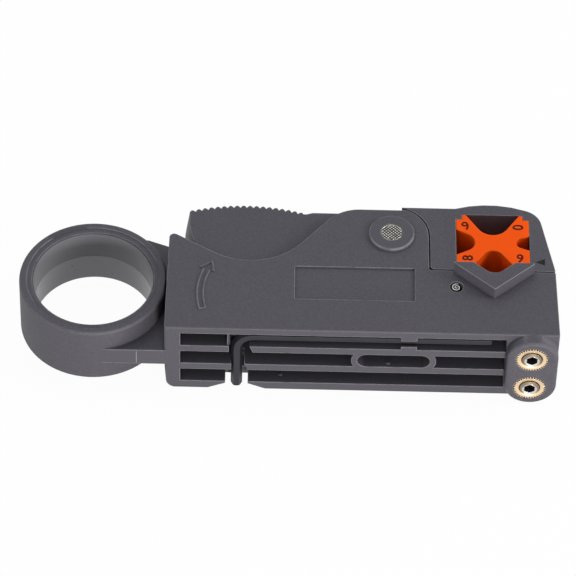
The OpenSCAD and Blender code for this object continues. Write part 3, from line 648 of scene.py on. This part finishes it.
class Piece:
    """Turns bmeshes into finished objects on their bodies."""

    @staticmethod
    def copy_of(node: bpy.types.Object) -> bmesh.types.BMesh:
        """Returns a merged copy of a CAD node's mesh, with its flat faces whole.

        Args:
            node: The CAD node's object.
        """
        bm = bmesh.new()
        bm.from_mesh(node.data)
        bmesh.ops.remove_doubles(bm, verts=bm.verts, dist=0.002 * MM)
        bmesh.ops.recalc_face_normals(bm, faces=bm.faces)
        bmesh.ops.dissolve_limit(
            bm,
            angle_limit=math.radians(0.6),
            verts=bm.verts,
            edges=bm.edges,
            delimit={"NORMAL"},
        )
        return bm

    @staticmethod
    def carved(
        bm: bmesh.types.BMesh, cutters: bmesh.types.BMesh, finishes: Sequence[Finish]
    ) -> bmesh.types.BMesh:
        """Cuts shapes out of a mesh.

        Args:
            bm: Mesh to cut, which is freed.
            cutters: Shapes to cut away, which are freed.
            finishes: Finish of the mesh and finish of the cut walls.

        Returns:
            The carved mesh, whose cut walls have material index 1.
        """
        bmesh.ops.remove_doubles(cutters, verts=cutters.verts, dist=0.0005 * MM)
        bmesh.ops.recalc_face_normals(cutters, faces=cutters.faces)
        for face in cutters.faces:
            face.material_index = 1
        parts = []
        for name, source in (("carved", bm), ("cutter", cutters)):
            mesh = bpy.data.meshes.new(name)
            source.to_mesh(mesh)
            source.free()
            for finish in finishes:
                mesh.materials.append(finish.build())
            part = bpy.data.objects.new(name, mesh)
            bpy.context.scene.collection.objects.link(part)
            parts.append(part)
        cut = parts[0].modifiers.new("cut", "BOOLEAN")
        cut.operation = "DIFFERENCE"
        cut.solver = "EXACT"
        cut.object = parts[1]
        graph = bpy.context.evaluated_depsgraph_get()
        mesh = bpy.data.meshes.new_from_object(parts[0].evaluated_get(graph))
        result = bmesh.new()
        result.from_mesh(mesh)
        for part in parts:
            bpy.data.objects.remove(part)
        bpy.data.meshes.remove(mesh)
        return result

    @staticmethod
    def finish(
        bm: bmesh.types.BMesh,
        name: str,
        body: str,
        slot: Slot,
        finishes: Sequence[Finish],
        shade: Shade = Shade.CREASED,
        replaces: Sequence[str] = (),
        bend: Bend | None = None,
    ) -> bpy.types.Object:
        """Makes the object of a piece.

        Args:
            bm: The finished mesh, which is freed.
            name: The piece's name.
            body: The body that it rides on, unless a bend is given.
            slot: The record's slot for its finish; not used.
            finishes: Its finishes, in the order of its material indices.
            shade: How its faces meet.
            replaces: CAD nodes that it stands for.
            bend: A bend towards a second body; when one is given, the piece stays in place on no body and the
                bend's fields are not read.

        Returns:
            The new object.
        """
        mesh = bpy.data.meshes.new(name)
        bm.to_mesh(mesh)
        bm.free()
        mesh.shade_smooth()
        mesh.set_sharp_from_angle(angle=math.radians(shade.value))
        piece = bpy.data.objects.new(name, mesh)
        bpy.context.scene.collection.objects.link(piece)
        for finish in finishes:
            mesh.materials.append(finish.build())
        even = piece.modifiers.new("even_normals", "WEIGHTED_NORMAL")
        even.keep_sharp = True
        even.weight = 50
        if bend:
            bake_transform(piece)
        else:
            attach(piece, body)
        if replaces:
            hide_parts(*replaces)
        LOG.info("%s: %d faces on %s", name, len(mesh.polygons), body)
        return piece

    @staticmethod
    def paint(node: bpy.types.Object, finish: Finish) -> None:
        """Gives a CAD node that stays its finish.

        Args:
            node: The CAD node's object.
            finish: Its finish.
        """
        material = finish.build()
        node.data.materials.clear()
        node.data.materials.append(material)
        LOG.info("%s: %s", node.name, finish.name)


class Outline(Enum):
    """Outline of a turned piece at one place of its profile."""

    ROUND = "round"
    HEXAGON = "hexagon"
    TOOTHED = "toothed"


@dataclass(frozen=True)
class Turning:
    """A profile turned round an axis, with sizes in millimetres."""

    centre: tuple[float, float, float]
    axis: tuple[float, float, float]
    side: tuple[float, float, float]
    steps: int = 144
    tooth: float = 0.38
    tooth_steps: int = 4

    def build(self, profile: Sequence[tuple[float, float, Outline]], ring: bool) -> bmesh.types.BMesh:
        """Turns the profile.

        Args:
            profile: Radius, distance along the axis and outline of each point.
            ring: Whether the profile is closed round a bore, or else ends on the axis.

        Returns:
            The closed mesh, in metres.
        """
        centre, axis, side = (Vector(v) for v in (self.centre, self.axis, self.side))
        bm = bmesh.new()
        verts = [bm.verts.new((centre + side * radius + axis * along) * MM) for radius, along, _ in profile]
        pairs = list(zip(verts, verts[1:], strict=False)) + ([(verts[-1], verts[0])] if ring else [])
        edges = [bm.edges.new(pair) for pair in pairs]
        bmesh.ops.spin(
            bm,
            geom=verts + edges,
            cent=centre * MM,
            axis=axis,
            angle=2 * math.pi,
            steps=self.steps,
            use_merge=True,
        )
        bmesh.ops.remove_doubles(bm, verts=bm.verts, dist=0.0005 * MM)
        self.shape(bm, profile)
        bmesh.ops.recalc_face_normals(bm, faces=bm.faces)
        return bm

    def shape(self, bm: bmesh.types.BMesh, profile: Sequence[tuple[float, float, Outline]]) -> None:
        """Moves the points of the toothed and hexagonal outlines.

        Args:
            bm: The turned mesh.
            profile: The profile that it was turned from.
        """
        centre, axis, side = (Vector(v) for v in (self.centre, self.axis, self.side))
        across = axis.cross(side)
        special = [(r, along, outline) for r, along, outline in profile if outline is not Outline.ROUND]
        for vert in bm.verts:
            place = vert.co / MM - centre
            along = place.dot(axis)
            x, y = place.dot(side), place.dot(across)
            radius = math.hypot(x, y)
            for r, a, outline in special:
                if abs(radius - r) < 1e-3 and abs(along - a) < 1e-3:
                    turn = math.atan2(y, x) % (2 * math.pi)
                    new = self.reach(r, turn, outline)
                    flat = side * (new * math.cos(turn)) + across * (new * math.sin(turn))
                    vert.co = (centre + axis * along + flat) * MM
                    break

    def reach(self, radius: float, turn: float, outline: Outline) -> float:
        """Returns an outline's radius at an angle.

        Args:
            radius: The outline's own radius; half the width across the flats of a hexagon.
            turn: The angle in radians.
            outline: The outline.
        """
        if outline is Outline.HEXAGON:
            return radius / math.cos((turn + math.pi / 6) % (math.pi / 3) - math.pi / 6)
        step = round(turn / (2 * math.pi) * self.steps) % self.tooth_steps
        return radius - (self.tooth if step >= self.tooth_steps / 2 else 0.0)


@dataclass
class Moulding:
    """The grey body: ring, side plates, ribs, cradle and screw boss."""

    frame: dict
    bore_radius: float = 12.05
    parting_level: float = -0.2
    band_radius: float = 13.55
    band_level: float = 6.0
    boss: tuple[float, float] = (59.85, 11.2)
    boss_radius: float = 5.2
    boss_highlight: float = 0.45
    rim_highlight: float = 0.12
    rim_tilt: tuple[float, float] = (0.12, 0.96)

    def build(self) -> bpy.types.Object:
        """Builds the dressed body and returns it."""
        bm = Piece.copy_of(self.frame["nodes"]["body"])
        bore = self.bore_faces(bm)
        around = {item for face in bore for item in (face, *face.edges, *face.verts)}
        bmesh.ops.bisect_plane(
            bm,
            geom=list(around),
            dist=0.001 * MM,
            plane_co=(0, 0, self.parting_level * MM),
            plane_no=(0, 0, 1),
        )
        # The bore's halves get their own finishes: the real gloss of each mould half, with painted light in their
        # colours.
        for face in self.bore_faces(bm):
            face.material_index = 1 if face.calc_center_median().z > self.parting_level * MM else 2
        # Painted highlight on the tilted faces of rounded rims, stronger round the screw boss.
        highlight_wear_shade = bm.faces.layers.float.new(PAINTED_HIGHLIGHT)
        for face in bm.faces:
            middle = face.calc_center_median() / MM
            # Painted shade on the stepped band at the ring's rims.
            if self.bore_radius < middle.xy.length < self.band_radius and abs(middle.z) > self.band_level:
                face.material_index = 3
            if self.rim_tilt[0] < abs(face.normal.z) < self.rim_tilt[1]:
                near_boss = (middle.xy - Vector(self.boss)).length < self.boss_radius
                face[highlight_wear_shade] = self.boss_highlight if near_boss else self.rim_highlight
        return Piece.finish(
            bm,
            "grey_body",
            "frame",
            Slot.GREY_PLASTIC,
            [GREY_PLASTIC, UPPER_BORE, LOWER_BORE, RIM_BAND_SHADE],
            replaces=["body"],
        )

    def bore_faces(self, bm: bmesh.types.BMesh) -> list[bmesh.types.BMFace]:
        """Returns the faces of the finger ring's bore.

        Args:
            bm: The body's mesh.
        """
        return [
            face
            for face in bm.faces
            if abs(face.normal.z) < 0.05
            and abs(face.calc_center_median().xy.length / MM - self.bore_radius) < 0.2
        ]


@dataclass
class MouldMarks:
    """Thin witness lines and ejector marks that the mould left on the body."""

    bore_radius: float = 12.05
    bore_level: float = -0.2
    bore_ridge: float = 0.09
    pips: tuple[tuple[float, float, float], ...] = ((59.42, -13.6, -1.583), (37.9, -12.6, -7.0))
    pip_radius: float = 0.42
    pip_rise: float = 0.09
    neck_line: tuple[float, float, float] = (9.13, -14.710, 0.0)
    neck_line_size: tuple[float, float, float] = (0.16, 0.16, 3.4)

    def build(self) -> None:
        """Builds the marks."""
        self.bore_line()
        self.ejector_pips()
        self.neck_witness()

    def neck_witness(self) -> None:
        """Builds the upright witness line on the front of the neck."""
        bm = bmesh.new()
        bmesh.ops.create_cube(bm, size=MM)
        bmesh.ops.scale(bm, verts=bm.verts, vec=self.neck_line_size)
        bmesh.ops.translate(bm, verts=bm.verts, vec=Vector(self.neck_line) * MM)
        Piece.finish(bm, "neck_witness_line", "frame", Slot.GREY_PLASTIC, [WITNESS_PLASTIC])

    def bore_line(self) -> None:
        """Builds the parting line round the finger ring's bore."""
        ridge = self.bore_ridge
        turning = Turning((0.0, 0.0, self.bore_level), (0.0, 0.0, 1.0), (1.0, 0.0, 0.0))
        bm = turning.build(
            (
                (self.bore_radius + 0.05, -ridge, Outline.ROUND),
                (self.bore_radius - ridge / 2, 0.0, Outline.ROUND),
                (self.bore_radius + 0.05, ridge, Outline.ROUND),
            ),
            ring=True,
        )
        Piece.finish(bm, "bore_parting_line", "frame", Slot.GREY_PLASTIC, [WITNESS_PLASTIC])

    def ejector_pips(self) -> None:
        """Builds the low round marks inside the front slots."""
        for number, place in enumerate(self.pips, start=1):
            turning = Turning(place, (0.0, 0.0, 1.0), (1.0, 0.0, 0.0), steps=24)
            bm = turning.build(
                (
                    (0.0, -0.05, Outline.ROUND),
                    (self.pip_radius, -0.05, Outline.ROUND),
                    (self.pip_radius, self.pip_rise * 0.6, Outline.ROUND),
                    (self.pip_radius * 0.7, self.pip_rise, Outline.ROUND),
                    (0.0, self.pip_rise, Outline.ROUND),
                ),
                ring=False,
            )
            Piece.finish(bm, f"ejector_mark_{number}", "frame", Slot.GREY_PLASTIC, [GREY_PLASTIC])


@dataclass
class Jaw:
    """The thumb lever with its jaw head and the pointer beside the V-block."""

    frame: dict
    face_z: float = 9.15
    pointer: tuple[tuple[float, float], ...] = ((88.8, 4.6), (90.61, 3.8), (90.66, 5.54))
    ink_rise: float = 0.02
    ink_sink: float = 0.1

    def build(self) -> bpy.types.Object:
        """Builds the dressed lever and its pointer, and returns the lever."""
        bm = Piece.copy_of(self.frame["nodes"]["jaw_lever"])
        self.ink_pointer()
        return Piece.finish(bm, "thumb_lever", "lever", Slot.GREY_PLASTIC, [GREY_PLASTIC], replaces=["jaw_lever"])

    def ink_pointer(self) -> None:
        """Builds the black triangle that points at the notch in use."""
        bm = bmesh.new()
        corners = [bm.verts.new((x * MM, y * MM, (self.face_z - self.ink_sink) * MM)) for x, y in self.pointer]
        face = bm.faces.new(corners)
        raised = bmesh.ops.extrude_face_region(bm, geom=[face])["geom"]
        tops = [item for item in raised if isinstance(item, bmesh.types.BMVert)]
        bmesh.ops.translate(bm, verts=tops, vec=(0, 0, (self.ink_rise + self.ink_sink) * MM))
        bmesh.ops.recalc_face_normals(bm, faces=bm.faces)
        Piece.finish(bm, "notch_pointer", "lever", Slot.GREY_PLASTIC, [DARK_INK])


@dataclass
class LeverSpring:
    """Compression spring that stands on the body and pushes the thumb lever out."""

    frame: dict
    idle_coil: float = 0.6

    def build(self) -> bpy.types.Object:
        """Builds the spring and returns it; the spring is left on no body and does not bend."""
        low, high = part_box("lever_spring")
        middle = (low + high) / 2 / MM
        start = (middle.x, low.y / MM + self.idle_coil, middle.z)
        end = (middle.x, high.y / MM - self.idle_coil, middle.z)
        return Piece.finish(
            Piece.copy_of(self.frame["nodes"]["lever_spring"]),
            "coil_spring",
            "frame",
            Slot.SPRING_STEEL,
            [SPRING_STEEL],
            replaces=["lever_spring"],
            bend=Bend("lever", start, end),
        )


@dataclass
class NotchBlock:
    """The orange four-way block with the numbers of its notches."""

    frame: dict
    height: float = 3.0
    stroke: float = 0.07
    depth: float = 0.25
    numbers: tuple[tuple[str, float, float, float], ...] = (
        ("9", 74.90, 13.99, 25.0),
        ("0", 85.54, 13.91, 90.0),
        ("8", 75.22, 5.40, 90.0),
        ("9", 85.66, 5.45, 0.0),
    )

    def build(self) -> bpy.types.Object:
        """Builds the dressed block and returns it."""
        bm = Piece.copy_of(self.frame["nodes"]["v_block"])
        _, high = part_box("v_block")
        cutters = bmesh.new()
        for sign, x, y, turn in self.numbers:
            self.add_digit(cutters, sign, (x, y, high.z / MM), turn)
        return Piece.finish(
            Piece.carved(bm, cutters, (ORANGE_PLASTIC, BROWN_INK)),
            "notch_block",
            "block",
            Slot.ORANGE_PLASTIC,
            [ORANGE_PLASTIC, BROWN_INK],
            replaces=["v_block"],
        )

    def add_digit(
        self, bm: bmesh.types.BMesh, sign: str, place: tuple[float, float, float], turn: float
    ) -> None:
        """Adds the cutter of one number.

        Args:
            bm: Mesh that collects the cutters.
            sign: The number.
            place: Its middle on the block's face, in millimetres.
            turn: Its turn in degrees.
        """
        curve = bpy.data.curves.new(f"number_{sign}", "FONT")
        curve.body = sign
        curve.size = self.height * MM
        curve.extrude = self.depth * MM
        curve.offset = self.stroke * MM
        curve.resolution_u = 4
        curve.align_x, curve.align_y = "CENTER", "CENTER"
        text = bpy.data.objects.new(f"number_{sign}", curve)
        bpy.context.scene.collection.objects.link(text)
        graph = bpy.context.evaluated_depsgraph_get()
        mesh = bpy.data.meshes.new_from_object(text.evaluated_get(graph))
        where = Matrix.Translation(Vector(place) * MM) @ Matrix.Rotation(math.radians(turn), 4, "Z")
        mesh.transform(where)
        bm.from_mesh(mesh)
        bpy.data.objects.remove(text)
        bpy.data.curves.remove(curve)
        bpy.data.meshes.remove(mesh)


@dataclass
class PivotPin:
    """Steel pin of the lever, with a fine diamond pattern pressed into its ends."""

    rim: float = 0.18
    sink: float = 0.10
    chamfer: float = 0.12
    diamond: float = 0.72
    relief: float = 0.10
    crest: float = 0.60
    rings: int = 26

    def build(self) -> bpy.types.Object:
        """Builds the pin and returns it."""
        low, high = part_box("pivot_pin")
        middle = (low + high) / 2 / MM
        radius = (high.x - low.x) / 2 / MM
        half = (high.z - low.z) / 2 / MM
        inner = radius - self.rim
        ring_radii = [inner * k / self.rings for k in range(self.rings)]
        upper = [(radius, half - self.chamfer), (radius - self.chamfer, half), (inner, half - self.sink / 2)]
        end = [(r, half - self.sink) for r in reversed(ring_radii)]
        side = upper + end
        profile = [(r, -along, Outline.ROUND) for r, along in reversed(side)]
        profile += [(r, along, Outline.ROUND) for r, along in side]
        turning = Turning(tuple(middle), (0.0, 0.0, 1.0), (1.0, 0.0, 0.0), steps=108)
        bm = turning.build(profile, ring=False)
        layer = bm.faces.layers.float.new(PAINTED_HIGHLIGHT)
        for vert in bm.verts:
            place = vert.co / MM - middle
            reach = math.hypot(place.x, place.y)
            if reach < inner - 0.02 and abs(place.z) > half - 2 * self.sink:
                lift = self.diamonds(place.x, place.y) * self.relief
                vert.co.z += math.copysign(lift * MM, place.z)
        # Painted glints: the crests of the diamonds and the rim of each end are marked for a brighter colour.
        for face in bm.faces:
            place = face.calc_center_median() / MM - middle
            crest = self.diamonds(place.x, place.y) > self.crest
            face[layer] = float(abs(place.z) > half - 2 * self.sink and (crest or place.xy.length > inner))
        return Piece.finish(
            bm, "lever_pin", "frame", Slot.PIN_STEEL, [PIN_STEEL], Shade.SPARKLING, replaces=["pivot_pin"]
        )

    def diamonds(self, x: float, y: float) -> float:
        """Returns the pattern's height, from 0 to 1, at a place on the end face."""
        first = abs(((x + y) / self.diamond) % 1.0 - 0.5)
        second = abs(((x - y) / self.diamond) % 1.0 - 0.5)
        return (first + second) * 0.9


@dataclass
class CoiledPin:
    """Coiled spring pin on which the blade arms swing."""

    turns: float = 1.9
    gauge: float = 0.20
    inner: float = 0.13
    points: int = 72

    def build(self) -> bpy.types.Object:
        """Builds the pin and returns it."""
        low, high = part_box("arm_pin")
        middle = (low + high) / 2 / MM
        outer = (high.x - low.x) / 2 / MM - self.gauge / 2
        bm = bmesh.new()
        verts = []
        for k in range(self.points + 1):
            share = k / self.points
            turn = 2 * math.pi * self.turns * share + math.radians(70)
            reach = outer + (self.inner - outer) * share
            place = (middle.x + reach * math.cos(turn), middle.y + reach * math.sin(turn), low.z / MM)
            verts.append(bm.verts.new(Vector(place) * MM))
        edges = [bm.edges.new(pair) for pair in zip(verts, verts[1:], strict=False)]
        raised = bmesh.ops.extrude_edge_only(bm, edges=edges)["geom"]
        tops = [item for item in raised if isinstance(item, bmesh.types.BMVert)]
        bmesh.ops.translate(bm, verts=tops, vec=(0, 0, high.z - low.z))
        bmesh.ops.recalc_face_normals(bm, faces=bm.faces)
        bmesh.ops.solidify(bm, geom=bm.faces, thickness=self.gauge * MM)
        bmesh.ops.recalc_face_normals(bm, faces=bm.faces)
        return Piece.finish(bm, "coiled_pin", "frame", Slot.PIN_STEEL, [ROLL_STEEL], replaces=["arm_pin"])


@dataclass
class BladeScrew:
    """A hexagon-socket set screw in its knurled brass insert."""

    level: str
    body: str
    thread_pitch: float = 0.7
    thread_depth: float = 0.22
    bore: float = 2.0
    collar: float = 2.16
    collar_drop: float = 0.20
    mouth: float = 1.30
    flats: float = 1.04
    socket_depth: float = 2.4
    crown: float = 1.55

    def build(self) -> None:
        """Builds the insert and its screw."""
        self.build_insert()
        self.build_screw()

    def build_insert(self) -> None:
        """Builds the knurled insert, with a step and a thread in its bore."""
        low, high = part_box(f"insert_{self.level}")
        middle = (low + high) / 2 / MM
        radius = (high.x - low.x) / 2 / MM
        depth = (high.y - low.y) / MM
        turns = int((depth - 1.2) / self.thread_pitch)
        thread = []
        for k in range(turns):
            start = self.collar_drop + 0.15 + k * self.thread_pitch
            thread.append((self.bore + self.thread_depth, start + self.thread_pitch / 2, Outline.ROUND))
            thread.append((self.bore, start + self.thread_pitch, Outline.ROUND))
        profile = [
            (radius, depth, Outline.TOOTHED),
            (radius, 0.06, Outline.TOOTHED),
            (radius - 0.06, 0.0, Outline.TOOTHED),
            (self.collar + 0.12, 0.0, Outline.ROUND),
            (self.collar, 0.06, Outline.ROUND),
            (self.collar - 0.12, self.collar_drop, Outline.ROUND),
            (self.bore, self.collar_drop + 0.15, Outline.ROUND),
            *thread,
            (self.bore, depth, Outline.ROUND),
        ]
        start = (middle.x, low.y / MM, middle.z)
        turning = Turning(start, (0.0, 1.0, 0.0), (1.0, 0.0, 0.0))
        bm = turning.build(profile, ring=True)
        # Painted shade on the knurled side of the insert.
        for face in bm.faces:
            place = face.calc_center_median() / MM - Vector(start)
            if math.hypot(place.x, place.z) > self.collar + 0.3 and abs(face.normal.y) < 0.5:
                face.material_index = 1
        finish = replace(INSERT_BRASS, name=f"brass_{self.level}", centre=tuple(Vector(start) * MM))
        name = f"insert_{self.level}"
        Piece.finish(bm, f"brass_{name}", "frame", Slot.BRASS, [finish, SOCKET_SHADE], replaces=[name])

    def build_screw(self) -> None:
        """Builds the set screw with its hexagon socket."""
        low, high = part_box(f"set_screw_{self.level}")
        middle = (low + high) / 2 / MM
        radius = (high.x - low.x) / 2 / MM
        length = (high.y - low.y) / MM
        turns = int((length - 1.9) / self.thread_pitch)
        thread = []
        for k in range(turns):
            start = 0.55 + k * self.thread_pitch
            thread.append((radius - self.thread_depth, start + self.thread_pitch / 2, Outline.ROUND))
            thread.append((radius, start + self.thread_pitch, Outline.ROUND))
        profile = [
            (0.0, self.socket_depth + 0.5, Outline.ROUND),
            (self.flats, self.socket_depth, Outline.HEXAGON),
            (self.flats, 0.2, Outline.HEXAGON),
            (self.mouth, 0.04, Outline.HEXAGON),
            (self.crown - 0.06, 0.0, Outline.ROUND),
            (self.crown, 0.05, Outline.ROUND),
            (radius, 0.4, Outline.ROUND),
            (radius, 0.55, Outline.ROUND),
            *thread,
            (radius, length - 0.6, Outline.ROUND),
            (radius - 0.6, length, Outline.ROUND),
            (0.0, length, Outline.ROUND),
        ]
        start = (middle.x, low.y / MM, middle.z)
        turning = Turning(start, (0.0, 1.0, 0.0), (1.0, 0.0, 0.0))
        bm = turning.build(profile, ring=False)
        # Painted shade in the hexagon socket (index 1), and painted shade with a painted reflection of the brass
        # on the screw's side (index 2).
        for face in bm.faces:
            place = face.calc_center_median() / MM - Vector(start)
            if math.hypot(place.x, place.z) < self.mouth and 0.16 < place.y < self.socket_depth + 0.6:
                face.material_index = 1
            elif math.hypot(place.x, place.z) > self.crown and place.y > 0.06:
                face.material_index = 2
        finish = replace(SCREW_STEEL, name=f"nickel_{self.level}", centre=tuple(Vector(start) * MM))
        name = f"set_screw_{self.level}"
        Piece.finish(
            bm,
            f"socket_{name}",
            self.body,
            Slot.SCREW_STEEL,
            [finish, SOCKET_SHADE, SHADED_STEEL],
            replaces=[name],
        )


@dataclass
class Studio:
    """Floor, world, lamps and camera."""

    floor_z: float
    pitch: float = 48.89
    azimuth: float = -0.6
    roll: float = 1.685
    focal_px: float = 4200.0
    frame_px: float = 576.0
    target: tuple[float, float, float] = (39.0, 0.0, 0.0)
    target_px: tuple[float, float] = (286.904, 304.099)
    distance: float = 847.812
    sensor: float = 36.0
    floor_glow: float = 0.96
    floor_gap: float = 0.05 * MM

    def build(self) -> None:
        """Builds the whole studio."""
        self.place_camera()
        self.light_world()
        self.lay_floor()
        self.hang_lamps()
        settings = bpy.context.scene.view_settings
        settings.view_transform = "Standard"

    def place_camera(self) -> None:
        """Places the camera where the photograph was taken."""
        data = bpy.data.cameras.new("camera")
        camera = bpy.data.objects.new("camera", data)
        bpy.context.scene.collection.objects.link(camera)
        data.sensor_width = self.sensor
        data.lens = self.focal_px / self.frame_px * self.sensor
        data.clip_start, data.clip_end = 0.01, 10.0
        pitch, azimuth, roll = (math.radians(a) for a in (self.pitch, self.azimuth, self.roll))
        ahead = Vector(
            (-math.sin(azimuth) * math.cos(pitch), math.cos(azimuth) * math.cos(pitch), -math.sin(pitch))
        )
        level = ahead.cross(Vector((0, 0, 1))).normalized()
        above = level.cross(ahead)
        right = math.cos(roll) * level + math.sin(roll) * above
        up = -math.sin(roll) * level + math.cos(roll) * above
        middle = self.frame_px / 2
        across = (self.target_px[0] - middle) / self.focal_px * self.distance
        down = (self.target_px[1] - middle) / self.focal_px * self.distance
        eye = Vector(self.target) - right * across + up * down - ahead * self.distance
        turn = Matrix((right, up, -ahead)).transposed().to_4x4()
        camera.matrix_world = Matrix.Translation(eye * MM) @ turn
        bpy.context.scene.camera = camera

    def light_world(self) -> None:
        """Lights the scene evenly; the background shows white."""
        world = bpy.data.worlds.new("studio_world")
        bpy.context.scene.world = world
        world.use_nodes = True
        world.node_tree.nodes.clear()
        wires = Wiring(world.node_tree)
        path = wires.add("ShaderNodeLightPath")
        seen = wires.math("ADD", path.outputs["Is Camera Ray"], path.outputs["Is Glossy Ray"])
        seen = wires.math("ADD", seen, path.outputs["Is Transmission Ray"])
        soft = wires.add("ShaderNodeBackground")
        wires.feed(soft, Color=rgba((0.93, 0.95, 1.0)), Strength=0.46)
        white = wires.add("ShaderNodeBackground")
        wires.feed(white, Color=rgba((1.0, 1.0, 1.0)), Strength=1.0)
        blend = wires.add("ShaderNodeMixShader")
        wires.tree.links.new(seen, blend.inputs[0])
        wires.tree.links.new(soft.outputs[0], blend.inputs[1])
        wires.tree.links.new(white.outputs[0], blend.inputs[2])
        out = wires.add("ShaderNodeOutputWorld")
        wires.feed(out, Surface=blend.outputs[0])

    def lay_floor(self) -> None:
        """Lays the pale floor under the tool; it can be seen through from below."""
        bm = bmesh.new()
        bmesh.ops.create_grid(bm, x_segments=1, y_segments=1, size=3.0)
        bmesh.ops.translate(bm, verts=bm.verts, vec=(0.04, 0.0, self.floor_z - self.floor_gap))
        mesh = bpy.data.meshes.new("floor")
        bm.to_mesh(mesh)
        bm.free()
        floor = bpy.data.objects.new("floor", mesh)
        bpy.context.scene.collection.objects.link(floor)
        material = bpy.data.materials.new("pale_floor")
        material.use_nodes = True
        material.node_tree.nodes.clear()
        wires = Wiring(material.node_tree)
        path = wires.add("ShaderNodeLightPath")
        glow = wires.add("ShaderNodeEmission")
        wires.feed(glow, Color=rgba((1.0, 1.0, 1.0)), Strength=1.0)
        paper = wires.add("ShaderNodeBsdfDiffuse")
        wires.feed(paper, Color=rgba((0.86, 0.86, 0.86)))
        seen = wires.math("ADD", path.outputs["Is Camera Ray"], path.outputs["Is Glossy Ray"])
        seen = wires.math("ADD", seen, path.outputs["Is Transmission Ray"])
        share = wires.math("MULTIPLY", seen, self.floor_glow)
        blend = wires.add("ShaderNodeMixShader")
        wires.tree.links.new(share, blend.inputs[0])
        wires.tree.links.new(paper.outputs[0], blend.inputs[1])
        wires.tree.links.new(glow.outputs[0], blend.inputs[2])
        under = wires.add("ShaderNodeBsdfTransparent")
        side = wires.add("ShaderNodeNewGeometry")
        single = wires.add("ShaderNodeMixShader")
        wires.tree.links.new(side.outputs["Backfacing"], single.inputs[0])
        wires.tree.links.new(blend.outputs[0], single.inputs[1])
        wires.tree.links.new(under.outputs[0], single.inputs[2])
        out = wires.add("ShaderNodeOutputMaterial")
        wires.feed(out, Surface=single.outputs[0])
        mesh.materials.append(material)
        floor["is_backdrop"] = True

    def hang_lamps(self) -> None:
        """Hangs the five soft lamps: one above and a little behind, one low in front, one on each side and a weak
        one near the camera.
        """
        lamps = (
            ("top_lamp", (-0.05, 0.30, 0.75), 0.6, 1.5, (0.97, 0.95, 1.0)),
            ("front_lamp", (0.20, -0.80, 0.06), 0.14, 6.0, (1.0, 0.97, 0.94)),
            ("right_lamp", (0.78, 0.0, 0.36), 0.35, 3.8, (1.0, 0.98, 0.96)),
            ("camera_lamp", (0.05, -0.50, 0.62), 0.3, 0.3, (1.0, 0.98, 0.96)),
            ("left_lamp", (-0.75, 0.05, 0.30), 0.4, 1.1, (0.97, 0.97, 1.0)),
        )
        for name, place, size, power, colour in lamps:
            data = bpy.data.lights.new(name, "AREA")
            data.shape = "SQUARE"
            data.size = size
            data.energy = power
            data.color = colour
            lamp = bpy.data.objects.new(name, data)
            bpy.context.scene.collection.objects.link(lamp)
            aim = Vector((0.045, 0.0, 0.0)) - Vector(place)
            turn = aim.to_track_quat("-Z", "Y").to_matrix().to_4x4()
            lamp.matrix_world = Matrix.Translation(Vector(place)) @ turn


def main() -> None:
    """Builds the dressed tool and its studio."""
    logging.basicConfig(level=logging.INFO, format="%(message)s")
    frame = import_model()
    cad_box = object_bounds()
    nodes = frame["nodes"]
    Studio(floor_z=cad_box[0].z).build()
    Moulding(frame).build()
    MouldMarks().build()
    Jaw(frame).build()
    LeverSpring(frame).build()
    NotchBlock(frame).build()
    PivotPin().build()
    CoiledPin().build()
    BladeScrew("upper", "screw_upper").build()
    BladeScrew("lower", "screw_lower").build()
    paints = {
        "blade_arm_upper": ARM_STEEL,
        "blade_arm_lower": ARM_STEEL,
        "blade_upper": BLADE_STEEL,
        "blade_lower": BLADE_STEEL,
        "blade_rivet_upper": PIN_STEEL,
        "blade_rivet_lower": PIN_STEEL,
        "hex_key": KEY_STEEL,
    }
    for name, finish in paints.items():
        Piece.paint(nodes[name], finish)


if __name__ == "__main__":
    main()
